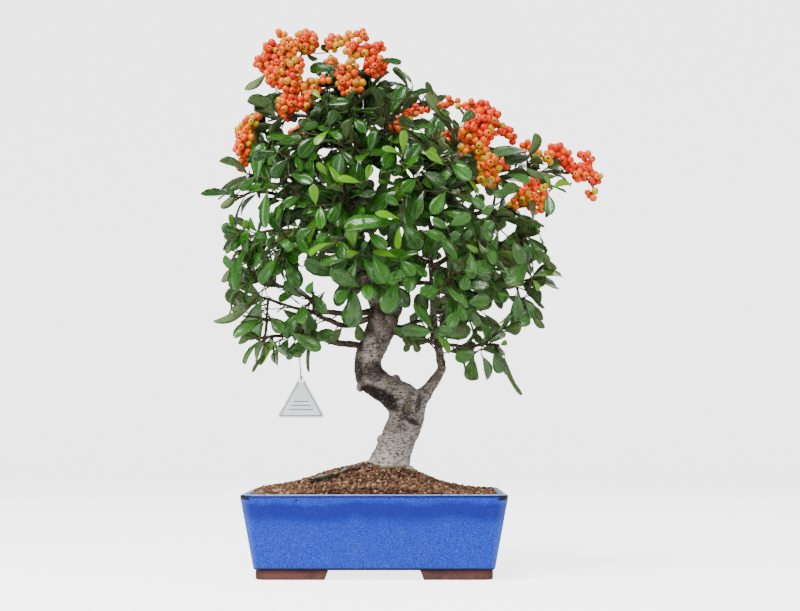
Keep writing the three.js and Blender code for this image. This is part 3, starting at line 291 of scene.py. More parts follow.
# Leaves seen from below or along their edge, in the same order
TURNED_LEAVES = [
    [-66.6, 372.7, -105.9, 347.3, 9], [19.4, 347.3, 10.4, 324.9, 7], [-79.5, 322.9, -59.3, 330, 9],
    [-126.9, 311.7, -126.8, 290.5, 8], [-137.5, 382.9, -156.6, 365.6, 9],
    [-114.6, 282.4, -145.8, 262.2, 10], [-73.2, 245, -50, 233.9, 9], [-32.9, 245, -45.9, 230.9, 11],
    [-18.8, 250.1, -14.7, 230.9, 11], [-95.4, 264.2, -73.2, 253.1, 9], [-51.1, 280.4, -64.2, 266.2, 5],
    [122.4, 313.8, 151.7, 306.7, 9], [35.6, 233.9, 29.5, 219.8, 7], [37.6, 231.9, 43.6, 219.8, 8],
    [45.7, 285.4, 48.7, 260.2, 12], [60.8, 280.4, 63.8, 262.2, 8], [88.2, 370.7, 71, 351.3, 12],
    [-119.4, 417.6, -107.1, 388, 7], [10.4, 314.8, 20.5, 300.6, 8], [125.4, 310.7, 133.4, 290.5, 10],
    [139.5, 304.6, 147.5, 286.4, 9], [99, 242, 105, 228.9, 8], [-109.8, 505.8, -133.1, 486.3, 6],
    [85.4, 446.3, 53, 487.3, 6], [-134, 316.8, -156, 290.5, 6], [-118.6, 272.3, -163.8, 251.1, 6],
    [-114.6, 271.3, -136.6, 249.1, 5], [-119.5, 254.1, -138.5, 227.9, 6],
    [-137.5, 391.1, -160.8, 382.9, 4], [-72.2, 525.4, -60, 517.1, 5], [129.1, 217.8, 147, 176.6, 4],
    [158.8, 325.9, 182.9, 303.6, 5], [154.5, 263.2, 170.5, 244, 5], [106.1, 255.1, 127.2, 244, 5],
    [186.6, 398.2, 152.2, 404.3, 6], [75.1, 383.9, 104.4, 352.4, 6], [155.5, 277.3, 170.6, 264.2, 3],
]
# Young yellow-green leaves, in the same order
YOUNG_LEAVES = [
    [-22, 324.9, -26.1, 350.3, 13], [-24, 318.8, -39.1, 330, 8], [-15.9, 320.9, -32, 317.8, 7],
    [-60.5, 367.6, -63.6, 389, 10], [-144.3, 343.2, -147.4, 359.5, 6], [-134.2, 342.2, -130.2, 353.4, 7],
    [-96.3, 231.9, -116.3, 209.8, 7], [24.5, 347.3, 22.5, 323.9, 8], [22.5, 314.8, -2.8, 320.9, 5],
    [24.5, 354.4, -0.8, 359.5, 6], [159.7, 296.5, 186.9, 297.6, 7], [157.7, 293.5, 164.7, 282.4, 6],
    [58.7, 239, 74.8, 218.8, 7], [-48.6, 444.2, -61.7, 429.9, 7], [-54.8, 476, -64.9, 486.3, 6],
    [-48.4, 398.2, -59.6, 411.5, 7], [-49.5, 410.4, -34.2, 389, 7], [-9.9, 393.1, -4.9, 409.4, 8],
    [-14, 391.1, -39.3, 395.1, 7], [24.5, 421.7, 6.2, 426.8, 6], [27.5, 420.7, 28.6, 445.2, 9],
    [69.1, 409.4, 50.9, 423.7, 9], [62, 411.5, 55.9, 427.8, 7], [178.4, 384.9, 196.6, 391.1, 6],
    [177.4, 384.9, 171.4, 398.2, 5], [90.2, 329, 103.3, 320.9, 6], [125.1, 226.9, 132.2, 229.9, 6],
]
# The crown's outline as seen from the front: x and z
CROWN_EDGE = [
    [-114.2, 209.8], [-136.5, 231.9], [-148.7, 254.1], [-158.9, 272.3], [-151, 290.5], [-155.2, 310.7],
    [-157.4, 333], [-151.4, 351.3], [-161.7, 368.6], [-157.8, 388], [-147.7, 404.3], [-145.9, 435],
    [-131.9, 459.6], [-115.7, 476], [-121.9, 492.4], [-109.8, 508.9], [-77.3, 517.1], [-59, 531.6],
    [-46.7, 519.2], [-24.4, 527.4], [9.2, 515.1], [28.6, 511], [26.5, 496.6], [55, 488.3], [77.3, 476],
    [100.7, 471.9], [126, 455.5], [146.2, 435], [171.5, 424.8], [201.9, 414.5], [219, 398.2],
    [204.7, 381.9], [182.4, 381.9], [184.3, 359.5], [172.1, 351.3], [170, 333], [182, 310.7],
    [187.9, 296.5], [169.7, 276.3], [171.5, 246], [155.4, 250.1], [137.3, 250.1], [127.1, 231.9],
    [133.1, 219.8], [129, 197.7], [114.9, 191.7], [90.8, 189.7], [76.8, 205.8], [70.8, 219.8],
    [48.7, 233.9], [44.6, 219.8], [28.5, 217.8], [22.5, 231.9], [10.4, 242], [-9.7, 229.9],
    [-23.8, 229.9], [-49.9, 219.8], [-76.1, 213.8], [-96.1, 205.8],
]
# Gaps where light comes through the crown: x, z and half their width and height
CROWN_GAPS = [
    [36.6, 205.8, 27, 25], [62.7, 219.8, 13, 20], [-54.1, 268.2, 20, 9], [-41.9, 225.9, 18, 8],
    [-70.6, 358.5, 5, 7], [-82.6, 345.2, 6, 4], [-92.2, 448.3, 8, 6], [-54.6, 421.7, 6, 5],
    [-11.1, 469.8, 5, 6], [5.2, 471.9, 5, 4], [2.2, 396.2, 4, 4], [-8.8, 334.1, 6, 5],
    [130.6, 341.2, 9, 8], [125.5, 322.9, 8, 6], [80, 284.4, 12, 3], [56.7, 250.1, 4, 6],
    [125.2, 250.1, 7, 8], [-115.4, 424.8, 4, 4], [-60.5, 358.5, 3, 4], [-18.1, 417.6, 4, 7],
    [24.5, 394.1, 3, 3], [-64.2, 276.3, 6, 4], [79.8, 233.9, 5, 3], [19.4, 414.5, 3, 4],
    [58, 264, 7, 14], [56, 302, 6, 16], [-80, 300, 9, 6],
]


def seen(rows: Table | Array) -> Array:
    """Turns rows of x, z and depth into points: each lies on its sight line, that far behind the trunk.

    Args:
        rows: Rows that start with x, z and depth.

    Returns:
        The points as an array of x, y and z in millimetres.
    """
    x, z, depth = np.asarray(rows, dtype=float).T[:3]
    scale = 1 - depth / EYE[1]
    return np.stack([EYE[0] + (x - EYE[0]) * scale, depth, EYE[2] + (z - EYE[2]) * scale], axis=-1)


def flat(points: Array) -> Array:
    """The x and z where the sight lines of points meet the trunk's plane, which seen() starts from."""
    scale = (1 - points[..., 1] / EYE[1])[..., None]
    return EYE[[0, 2]] + (points[..., [0, 2]] - EYE[[0, 2]]) / scale


def within(places: Array, outline: Array) -> Array:
    """Whether places lie in an outline: a ray from each crosses it an odd number of times.

    Args:
        places: The x and z of each place.
        outline: The outline's corners.

    Returns:
        A mask of the places.
    """
    x, z = places[..., 0, None], places[..., 1, None]
    x0, z0 = outline.T
    x1, z1 = np.roll(outline, -1, axis=0).T
    crossed = ((z0 > z) != (z1 > z)) & (x < x0 + (z - z0) * (x1 - x0) / (z1 - z0 + 1e-9))
    return crossed.sum(axis=-1) % 2 == 1


def to_row(points: Array) -> Array:
    """Turns millimetres from the pot's middle into metres in the row's frame."""
    middle = np.array(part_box("pot"), dtype=float).mean(axis=0) * [1, 1, 0]
    return np.asarray(points) * MM + middle


def from_row(points: Array) -> Array:
    """Turns metres in the row's frame into millimetres from the pot's middle."""
    return (points - to_row(np.zeros(3))) / MM


def unit(vectors: Array) -> Array:
    """Scales vectors to length 1."""
    return vectors / np.maximum(np.linalg.norm(vectors, axis=-1, keepdims=True), 1e-12)


def hump(values: Array, middle: float, width: float) -> Array:
    """A bell curve: 1 at its middle, the power of e to minus the square of the distance in widths."""
    return np.exp(-(((values - middle) / width) ** 2))


def below(heights: Array, top: float, run: float) -> Array:
    """Runs evenly from 0 at the top to 1 where a height is a run lower."""
    return np.clip((top - heights) / run, 0, 1)


def chance(a: Any, b: Any, c: Any, d: Any) -> Any:
    """Draws the same numbers between 0 and 1 for the same keys: the fraction of a scaled sine.

    Args:
        a: The first key.
        b: The second.
        c: The third.
        d: The last.

    Returns:
        The numbers.
    """
    of_a, of_b, of_c, of_d = KEY_SCALES
    mixed = np.sin(a * of_a + b * of_b + c * of_c + d * of_d + KEY_START) * SINE_SCALE
    return mixed - np.floor(mixed)


def lumps(points: Array, cell: float, seed: float, octaves: int = 1) -> Array:
    """Smooth random relief: lattice values blended between their eight neighbours, octave on octave.

    Args:
        points: Places in millimetres.
        cell: Size of the largest lumps in millimetres.
        seed: Which pattern to draw.
        octaves: How many times the pattern is added again at half the size and half the height.

    Returns:
        Values from about -1 to 1.
    """
    total = np.zeros(points.shape[:-1])
    for octave in range(octaves):
        place = points / (cell / 2**octave) + 311.7
        base = np.floor(place)
        part = place - base
        part = part * part * (3 - 2 * part)
        value = np.zeros(points.shape[:-1])
        for corner in np.ndindex(2, 2, 2):
            weight = np.prod(np.where(np.array(corner) == 1, part, 1 - part), axis=-1)
            x, y, z = np.moveaxis(base + np.array(corner), -1, 0)
            value += weight * chance(x, y, z, seed + octave)
        total += (2 * value - 1) / 2**octave
    return total


@dataclass(frozen=True)
class Smooth:
    """A path through points, with tangents at each that are half the step between its neighbours."""

    points: Array

    def at(self, t: Any) -> Array:
        """The point at t of the path: a cubic between each two points.

        Args:
            t: Shares of the path from 0 to 1.

        Returns:
            A point for each.
        """
        t = np.atleast_1d(np.asarray(t, dtype=float))
        p = self.points
        padded = np.vstack([2 * p[0] - p[1], p, 2 * p[-1] - p[-2]])
        place = t * (len(p) - 1)
        i = np.minimum(np.floor(place).astype(int), len(p) - 2)
        w = (place - i)[:, None]
        x0, x1, x2, x3 = padded[i], padded[i + 1], padded[i + 2], padded[i + 3]
        t0, t1 = (x2 - x0) / 2, (x3 - x1) / 2
        return x1 + t0 * w + (3 * (x2 - x1) - 2 * t0 - t1) * w**2 + (2 * (x1 - x2) + t0 + t1) * w**3

    def tangent(self, t: Any) -> Array:
        """The direction of the path at t."""
        t = np.atleast_1d(np.asarray(t, dtype=float))
        return unit(self.at(np.minimum(t + 1e-4, 1)) - self.at(np.maximum(t - 1e-4, 0)))


@dataclass(frozen=True)
class Bow(Smooth):
    """A twig's path: a curve from its first point to its last that is drawn to its middle one."""

    def at(self, t: Any) -> Array:
        """The point at t: the three points weighed by the squares and the product of t and 1 - t.

        Args:
            t: Shares of the path from 0 to 1.

        Returns:
            A point for each.
        """
        t = np.atleast_1d(np.asarray(t, dtype=float))[:, None]
        start, middle, end = self.points
        return start * (1 - t) ** 2 + middle * 2 * t * (1 - t) + end * t**2


STEMS = {
    "trunk": Smooth(seen(TRUNK)),
    "mainStem": Smooth(seen(MAIN_STEM)),
    "secondStem": Smooth(seen(SECOND_STEM)),
    **{name: Smooth(seen(rows[2:])) for name, rows in LIMBS.items()},
}


@dataclass
class Skin:
    """Points, faces, finishes, places on the surface and draws that together make one piece."""

    names: tuple[str, ...] = ("tint", "age")
    points: list[Array] = field(default_factory=list)
    faces: list[tuple[Array, Array]] = field(default_factory=list)
    places: list[Array] = field(default_factory=list)
    draws: list[Array] = field(default_factory=list)
    count: int = 0

    def add(
        self, points: Array, faces: list[Array], finish: Any = 0, place: Any = None, **draws: Any
    ) -> None:
        """Adds one closed surface, or many alike.

        Args:
            points: Places in millimetres from the pot's middle.
            faces: Arrays of corner numbers, each with rows of one length.
            finish: The finish's number for all faces, or one for each row of the first array.
            place: Two numbers for each point that say where it lies on the surface.
            draws: A value for each point, or one for all, under each of the skin's names.
        """
        points = points.reshape(-1, 3)
        total = len(points)
        for number, rows in enumerate(faces):
            kind = finish if number == 0 else np.ravel(finish)[0]
            self.faces.append((rows + self.count, np.broadcast_to(kind, len(rows)).astype(int)))
        self.points.append(points)
        self.places.append(np.zeros((total, 2)) if place is None else place.reshape(-1, 2))
        values = [np.broadcast_to(np.ravel(draws.get(name, 0.5)), total) for name in self.names]
        self.draws.append(np.stack(values, axis=-1))
        self.count += total

    def piece(self, name: str, finishes: list[Material], smooth: bool = True) -> Piece:
        """Makes the mesh object, with its place in its mesh.

        Args:
            name: The piece's name.
            finishes: The materials that the faces' numbers stand for.
            smooth: Whether light runs smoothly over the faces.

        Returns:
            The new object, linked to the scene.
        """
        mesh = bpy.data.meshes.new(name)
        points = to_row(np.concatenate(self.points))
        corners = np.concatenate([rows.ravel() for rows, _ in self.faces])
        sizes = np.concatenate([np.full(len(rows), rows.shape[1]) for rows, _ in self.faces])
        kinds = np.concatenate([kind for _, kind in self.faces])
        mesh.vertices.add(len(points))
        mesh.vertices.foreach_set("co", points.astype(np.float32).ravel())
        mesh.loops.add(len(corners))
        mesh.loops.foreach_set("vertex_index", corners.astype(np.int32))
        mesh.polygons.add(len(sizes))
        mesh.polygons.foreach_set("loop_start", (np.cumsum(sizes) - sizes).astype(np.int32))
        mesh.polygons.foreach_set("material_index", kinds.astype(np.int32))
        mesh.update(calc_edges=True)
        mesh.polygons.foreach_set("use_smooth", np.full(len(sizes), smooth))
        layer = mesh.uv_layers.new(name="UVMap")
        layer.data.foreach_set("uv", np.concatenate(self.places)[corners].astype(np.float32).ravel())
        for column, values in zip(self.names, np.concatenate(self.draws).T):
            mark(mesh, column, values)
        for material in finishes:
            mesh.materials.append(material)
        piece = bpy.data.objects.new(name, mesh)
        bpy.context.scene.collection.objects.link(piece)
        return piece


def net(rows: int, columns: int, round_rows: bool = False) -> Array:
    """Corner numbers of the four-cornered faces of a grid whose columns go round.

    Args:
        rows: How many rows the grid has.
        columns: How many columns it has.
        round_rows: Whether its rows go round too.

    Returns:
        The four corners of each face.
    """
    i, j = np.meshgrid(np.arange(rows - (not round_rows)), np.arange(columns), indexing="ij")
    after, beside = (i + 1) % rows, (j + 1) % columns
    quads = [i * columns + j, i * columns + beside, after * columns + beside, after * columns + j]
    return np.stack(quads, axis=-1).reshape(-1, 4)


def shell(rows: int, columns: int, turned: bool = False) -> list[Array]:
    """Corner numbers of a grid's faces, and of two flat ones that close its first and last row.

    Args:
        rows: How many rows the grid has.
        columns: How many columns it has.
        turned: Whether the faces look the other way.

    Returns:
        The corners of the grid's faces and those of the flat ones.
    """
    first = np.arange(columns)
    ends = np.stack([first[::-1], (rows - 1) * columns + first])
    return [faces[:, ::-1] if turned else faces for faces in (net(rows, columns), ends)]


def turns(steps: int) -> Array:
    """Angles that go once round in that many steps."""
    return np.arange(steps) * 2 * math.pi / steps


def joined(*parts: Any) -> Array:
    """Points from their numbers, each stretched to the shape that they share."""
    return np.stack(np.broadcast_arrays(*parts), axis=-1)


def aside(first: Array, last: Array, steep: Row = (1, 0, 0)) -> Row:
    """A direction off a straight path: up, or the one that is given where the path is steep."""
    return (0, 0, 1) if abs(last[2] - first[2]) < 0.7 * np.linalg.norm(last - first) else steep


def read(rows: Any, name: str) -> Array:
    """Reads the places or directions of all rows of a mesh.

    Args:
        rows: The mesh's points or its directions.
        name: What to read of each.

    Returns:
        Three numbers for each.
    """
    numbers = np.empty(len(rows) * 3, dtype=np.float32)
    rows.foreach_get(name, numbers)
    return numbers.reshape(-1, 3).astype(float)


def mark(mesh: bpy.types.Mesh, name: str, values: Array) -> None:
    """Gives a mesh's points an attribute of that name."""
    mesh.attributes.new(name, "FLOAT", "POINT").data.foreach_set("value", values.astype(np.float32))


def repeated(faces: Array, copies: int, size: int) -> Array:
    """The faces of many copies of a shape that has that many points."""
    return (faces[None] + (np.arange(copies) * size)[:, None, None]).reshape(-1, faces.shape[1])


def tube(points: Array, radii: Array, sides: int, lead: Row) -> dict[str, Any]:
    """Rings carried along a path, each square to it, closed by a flat face at both ends.

    Args:
        points: The path's points.
        radii: Each ring's radius, or for each ring the radius at each side.
        sides: Points in a ring.
        lead: A direction that the path never takes, from which the rings' angles are counted.

    Returns:
        The points, the faces, and the place of each point round and along the tube.
    """
    along = unit(np.gradient(points, axis=0))
    across = unit(np.array(lead) - along * (along @ np.array(lead))[:, None])
    beside = np.cross(along, across)
    angle = turns(sides)
    ring = across[:, None] * np.cos(angle)[:, None] + beside[:, None] * np.sin(angle)[:, None]
    size = np.asarray(radii, dtype=float).reshape(len(points), -1, 1)
    rings = points[:, None] + ring * size
    lengths = np.concatenate([[0], np.cumsum(np.linalg.norm(np.diff(points, axis=0), axis=1))])
    place = joined(angle / (2 * math.pi), lengths[:, None])
    return {"points": rings, "faces": shell(len(points), sides), "place": place}


def globe(middle: Array, radii: Array, rings: int, sides: int) -> dict[str, Any]:
    """An egg shape on a grid of angles, whose poles are closed by small flat faces.

    Args:
        middle: Its middle.
        radii: Its half width along each axis.
        rings: Rings from pole to pole.
        sides: Points in a ring.

    Returns:
        The points and the faces.
    """
    polar = np.linspace(0.12, math.pi - 0.12, rings)[:, None]
    turn = turns(sides)
    shape = joined(np.sin(polar) * np.cos(turn), np.sin(polar) * np.sin(turn), -np.cos(polar))
    return {"points": middle + shape * radii, "faces": shell(rings, sides)}


def linear(red: float, green: float, blue: float) -> Colour:
    """The shader's colour for red, green and blue as they are seen, from 0 to 255.

    Args:
        red: The red seen.
        green: The green.
        blue: The blue.

    Returns:
        The colour in linear light, and opaque.
    """
    parts = [value / 255 for value in (red, green, blue)]
    bent = [value / 12.92 if value < 0.04045 else ((value + 0.055) / 1.055) ** 2.4 for value in parts]
    return (*bent, 1.0)


class Recipe:
    """Builds one material: each method adds a shader node and gives its output."""

    def __init__(self, name: str) -> None:
        """Makes an empty material with its surface shader.

        Args:
            name: The material's name.
        """
        self.material = bpy.data.materials.new(name)
        self.material.use_nodes = True
        self.tree = self.material.node_tree
        self.tree.nodes.clear()
        self.shader = self.tree.nodes.new("ShaderNodeBsdfPrincipled")
        output = self.tree.nodes.new("ShaderNodeOutputMaterial")
        self.tree.links.new(self.shader.outputs[0], output.inputs["Surface"])

    def put(self, socket: Socket, value: Any) -> None:
        """Links an output to a socket, or sets the socket's own value.

        Args:
            socket: The socket of a node.
            value: An output, or a plain value.
        """
        if isinstance(value, Socket):
            self.tree.links.new(value, socket)
        else:
            socket.default_value = value

    def add(self, kind: str, inputs: dict[Any, Any], output: Any = 0, **settings: Any) -> Socket:
        """Adds a node.

        Args:
            kind: The node's type, without its usual start.
            inputs: A value or an output for each of its sockets that isn't left as it is.
            output: Which output is given back.
            settings: The node's own settings.

        Returns:
            The output.
        """
        node = self.tree.nodes.new("ShaderNode" + kind)
        for key, value in settings.items():
            setattr(node, key, value)
        for key, value in inputs.items():
            self.put(node.inputs[key], value)
        return node.outputs[output]

    def spot(self, stretch: Row = (1, 1, 1)) -> Socket:
        """The place on the object, drawn out along its axes."""
        place = self.add("TexCoord", {}, "Object")
        return self.add("Mapping", {"Vector": place, "Scale": stretch})

    def on_surface(self) -> Socket:
        """The place on the surface, as the piece's own map gives it."""
        return self.add("TexCoord", {}, "UV")

    def part(self, place: Any, axis: str) -> Socket:
        """One of a place's numbers."""
        return self.add("SeparateXYZ", {0: place}, axis)

    def noise(self, place: Any, scale: float, detail: float = 3, roughness: float = 0.55) -> Socket:
        """Cloudy noise of that many clouds a metre."""
        inputs = {"Vector": place, "Scale": scale, "Detail": detail, "Roughness": roughness}
        return self.add("TexNoise", inputs)

    def cells(self, place: Any, scale: float) -> Socket:
        """Cells of that many a metre: how far the middle of each is."""
        return self.add("TexVoronoi", {"Vector": place, "Scale": scale}, "Distance")

    def draw(self, name: str) -> Socket:
        """The value of one of the skin's draws."""
        return self.add("Attribute", {}, "Fac", attribute_name=name)

    def band(self, value: Any, low: float, high: float) -> Socket:
        """Runs smoothly from 0 to 1 as a value goes from low to high."""
        inputs = {"Value": value, "From Min": low, "From Max": high}
        return self.add("MapRange", inputs, interpolation_type="SMOOTHSTEP")

    def sum(self, operation: str, first: Any, second: Any = 0.0) -> Socket:
        """One arithmetic step on two values."""
        return self.add("Math", {0: first, 1: second}, operation=operation)

    def times(self, first: Any, second: Any) -> Socket:
        """The product of two values."""
        return self.sum("MULTIPLY", first, second)

    def scaled(self, value: Any, factor: float, start: Any) -> Socket:
        """A value times a factor, added to a start."""
        return self.add("Math", {0: value, 1: factor, 2: start}, operation="MULTIPLY_ADD")

    def off_half(self, value: Any) -> Socket:
        """How far a value is from a half."""
        return self.sum("ABSOLUTE", self.sum("SUBTRACT", value, 0.5))

    def mix(self, share: Any, first: Any, second: Any) -> Socket:
        """A colour between two others."""
        return self.add("Mix", {0: share, 6: first, 7: second}, 2, data_type="RGBA")

    def relief(self, height: Any, distance: float, strength: float) -> Socket:
        """Raises the surface by a height in metres for each unit of the value."""
        return self.add("Bump", {"Height": height, "Distance": distance, "Strength": strength})

    def done(self, **inputs: Any) -> Material:
        """Sets the surface shader's sockets.

        Args:
            inputs: A value or an output for each socket, its name written with _ for each space.

        Returns:
            The material.
        """
        for key, value in inputs.items():
            self.put(self.shader.inputs[key.replace("_", " ")], value)
        return self.material


@dataclass(frozen=True)
class Glaze:
    """Cobalt glaze, deepest in a band under the rim, finely speckled, and thin and pale on the corners.

    The pale corners are also a painted highlight. The rim has a painted highlight along its top, a painted
    dark line under it and painted dark glints at its corners.
    """

    deep: Colour = linear(0, 8, 140)
    middle: Colour = linear(0, 42, 186)
    pale: Colour = linear(104, 160, 238)
    # The colour of the painted highlight along the rim's top
    edge: Colour = linear(150, 172, 216)
    # Pinholes, the line above the foot, and the painted shade under the rim and at its corners
    dark: Colour = linear(8, 12, 44)
    # Heights in metres: the foot, the rim, and where the deep band starts and ends
    foot: float = 0.0093
    rim: float = 0.0813
    pool_start: Row = (0.058, 0.071)
    pool_end: Row = (0.084, 0.078)

    def material(self) -> Material:
        """Makes the glaze's material.

        Returns:
            The material.
        """
        recipe = Recipe("pot_glaze")
        place = recipe.spot()
        height = recipe.part(place, "Z")
        clouds = recipe.noise(recipe.spot((1, 1, 0.5)), 34, 4, 0.6)
        wavy = recipe.scaled(clouds, 0.016, height)
        low = recipe.band(wavy, self.rim - 0.02, self.foot + 0.034)
        speckle = recipe.noise(place, 1550, 2, 0.6)
        dots = recipe.band(speckle, 0.48, 0.58)
        pool = recipe.times(recipe.band(wavy, *self.pool_start), recipe.band(wavy, *self.pool_end))
        share = recipe.scaled(low, 0.05, recipe.scaled(pool, -0.13, 0.21))
        grainy = recipe.times(recipe.band(speckle, 0.51, 0.41), 0.75)
        ground = recipe.mix(recipe.sum("MAXIMUM", pool, grainy), self.middle, self.deep)
        speckled = recipe.mix(recipe.times(dots, share), ground, self.pale)
        # The pale corners are thin glaze and also a painted highlight
        thin = recipe.mix(recipe.times(recipe.draw("tint"), 0.13), speckled, self.pale)
        pits = recipe.times(
            recipe.band(recipe.cells(place, 42), 0.06, 0.03), recipe.band(clouds, 0.5, 0.6))
        pitted = recipe.mix(pits, thin, self.dark)
        # A painted highlight along the rim's top, broken up by noise
        worn_and_glint_breaks = recipe.band(recipe.noise(place, 260, 2), 0.2, 0.5)
        rim_highlight = recipe.times(recipe.band(height, self.rim - 0.0011, self.rim - 0.0002), worn_and_glint_breaks)
        # A painted dark line under the rim's top
        under_lip = recipe.times(
            recipe.band(height, self.rim - 0.0036, self.rim - 0.0024),
            recipe.band(height, self.rim - 0.0009, self.rim - 0.0016))
        # Painted dark glints near the rim at the corners, where the age draw is high
        ragged = recipe.scaled(clouds, -0.012, self.rim + 0.0005)
        run = recipe.times(
            recipe.sum("GREATER_THAN", height, ragged), recipe.band(recipe.draw("age"), 0.35, 0.8))
        shade = recipe.sum("MAXIMUM", recipe.times(under_lip, 0.85), run)
        shaded = recipe.mix(shade, pitted, self.dark)
        rim_highlighted = recipe.mix(rim_highlight, shaded, self.edge)
        lined = recipe.mix(recipe.band(height, self.foot + 0.0026, self.foot + 0.0014), rim_highlighted, self.dark)
        skin = recipe.noise(place, 150, 2)
        bumps = recipe.times(speckle, 0.25)
        return recipe.done(
            Base_Color=lined, Roughness=0.14, Specular_IOR_Level=0.22,
            Normal=recipe.relief(recipe.sum("ADD", skin, bumps), 0.0005, 0.4),
        )


@dataclass(frozen=True)
class FiredClay:
    """Bare fired clay of the feet and the underside, gritty and a little scorched."""

    ground: Colour = linear(96, 52, 43)
    dark: Colour = linear(72, 40, 35)
    sand: Colour = linear(132, 84, 68)

    def material(self) -> Material:
        """Makes the clay's material.

        Returns:
            The material.
        """
        recipe = Recipe("fired_clay")
        place = recipe.spot()
        stain = recipe.mix(recipe.band(recipe.noise(place, 60, 4), 0.4, 0.62), self.ground, self.dark)
        grit = recipe.noise(place, 1400, 2)
        sandy = recipe.mix(recipe.band(grit, 0.58, 0.68), stain, self.sand)
        return recipe.done(Base_Color=sandy, Roughness=0.82, Normal=recipe.relief(grit, 0.0004, 0.5))


@dataclass(frozen=True)
class Grains:
    """Dry granular soil. Each grain has a colour of its own, from dark brown to pale tan."""

    dark: Colour = linear(48, 33, 26)
    middle: Colour = linear(122, 89, 66)
    pale: Colour = linear(182, 148, 120)

    def material(self) -> Material:
        """Makes the grains' material.

        Returns:
            The material.
        """
        recipe = Recipe("soil_grains")
        place = recipe.spot()
        tint = recipe.draw("tint")
        brown = recipe.mix(recipe.band(tint, 0.0, 0.65), self.dark, self.middle)
        tan = recipe.mix(recipe.band(tint, 0.78, 1.0), brown, self.pale)
        dust = recipe.noise(place, 1600, 3)
        dusty = recipe.mix(recipe.band(dust, 0.45, 0.85), tan, self.middle)
        return recipe.done(
            Base_Color=dusty, Roughness=0.93, Specular_IOR_Level=0.15,
            Normal=recipe.relief(dust, 0.0005, 0.6),
        )


@dataclass(frozen=True)
class Bed:
    """The damp soil seen between the grains, dark both as its own colour and as painted shade of the gaps."""

    dark: Colour = linear(44, 26, 18)
    light: Colour = linear(96, 60, 40)

    def material(self) -> Material:
        """Makes the bed's material.

        Returns:
            The material.
        """
        recipe = Recipe("soil_bed")
        place = recipe.spot()
        crumbs = recipe.cells(place, 420)
        # Dark, and so also painted shade of the gaps between the grains
        ground = recipe.mix(recipe.band(recipe.noise(place, 200, 4), 0.35, 0.65), self.dark, self.light)
        return recipe.done(Base_Color=ground, Roughness=0.96, Normal=recipe.relief(crumbs, -0.0012, 0.8))


class BarkKind(Enum):
    """Which bark a stem wears."""

    TRUNK = "trunk_bark"
    LIMB = "limb_bark"
    TWIG = "twig_bark"


@dataclass(frozen=True)
class Bark:
    """Grey-brown bark with pale flecks and dark dashes, mossy, worn, stained or bleached by the draws.

    The stain draw also gives painted shade, and the bleach draw painted highlights.
    """

    kind: BarkKind
    ground: Colour
    dark: Colour
    fleck: Colour
    moss: Colour = linear(104, 100, 62)
    wound: Colour = linear(92, 84, 60)
    # Real stains, and painted shade where the stain draw marks it
    stain: Colour = linear(18, 10, 6)
    # Bleached bark, and painted highlights where the bleach draw marks them
    bleached_and_lit: Colour = linear(240, 230, 222)
    rough: float = 0.72

    def material(self) -> Material:
        """Makes the bark's material.

        Returns:
            The material.
        """
        recipe = Recipe(self.kind.value)
        place = recipe.spot()
        patches = recipe.band(recipe.noise(place, 70, 4, 0.6), 0.36, 0.64)
        ground = recipe.mix(patches, self.dark, self.ground)
        grain = recipe.noise(place, 620, 4, 0.75)
        bleached_and_lit = recipe.mix(recipe.draw("bleach_and_highlight"), ground, self.bleached_and_lit)
        flecked = recipe.mix(recipe.band(grain, 0.55, 0.68), bleached_and_lit, self.fleck)
        mottle = recipe.noise(recipe.spot((1, 1, 1.8)), 300, 4, 0.7)
        mottled = recipe.mix(recipe.times(recipe.band(mottle, 0.5, 0.38), 0.85), flecked, self.dark)
        dashes = recipe.noise(recipe.spot((1, 1, 4.0)), 200, 3)
        dashed = recipe.mix(recipe.times(recipe.band(dashes, 0.57, 0.62), 0.9), mottled, self.dark)
        tufts = recipe.times(recipe.draw("tint"), recipe.band(grain, 0.3, 0.7))
        mossy = recipe.mix(tufts, dashed, self.moss)
        # The stain draw: real stains and painted shade
        stain_and_shade = recipe.times(recipe.draw("stain"), recipe.band(grain, 0.95, 0.45))
        stained_and_shaded = recipe.mix(stain_and_shade, mossy, self.stain)
        worn_and_glint_breaks = recipe.mix(recipe.draw("age"), stained_and_shaded, self.wound)
        cracks = recipe.cells(recipe.spot((1, 1, 0.45)), 260)
        height = recipe.sum("ADD", recipe.times(grain, 0.6), cracks)
        return recipe.done(
            Base_Color=worn_and_glint_breaks, Roughness=self.rough, Specular_IOR_Level=0.18,
            Normal=recipe.relief(height, 0.0013, 0.85),
        )


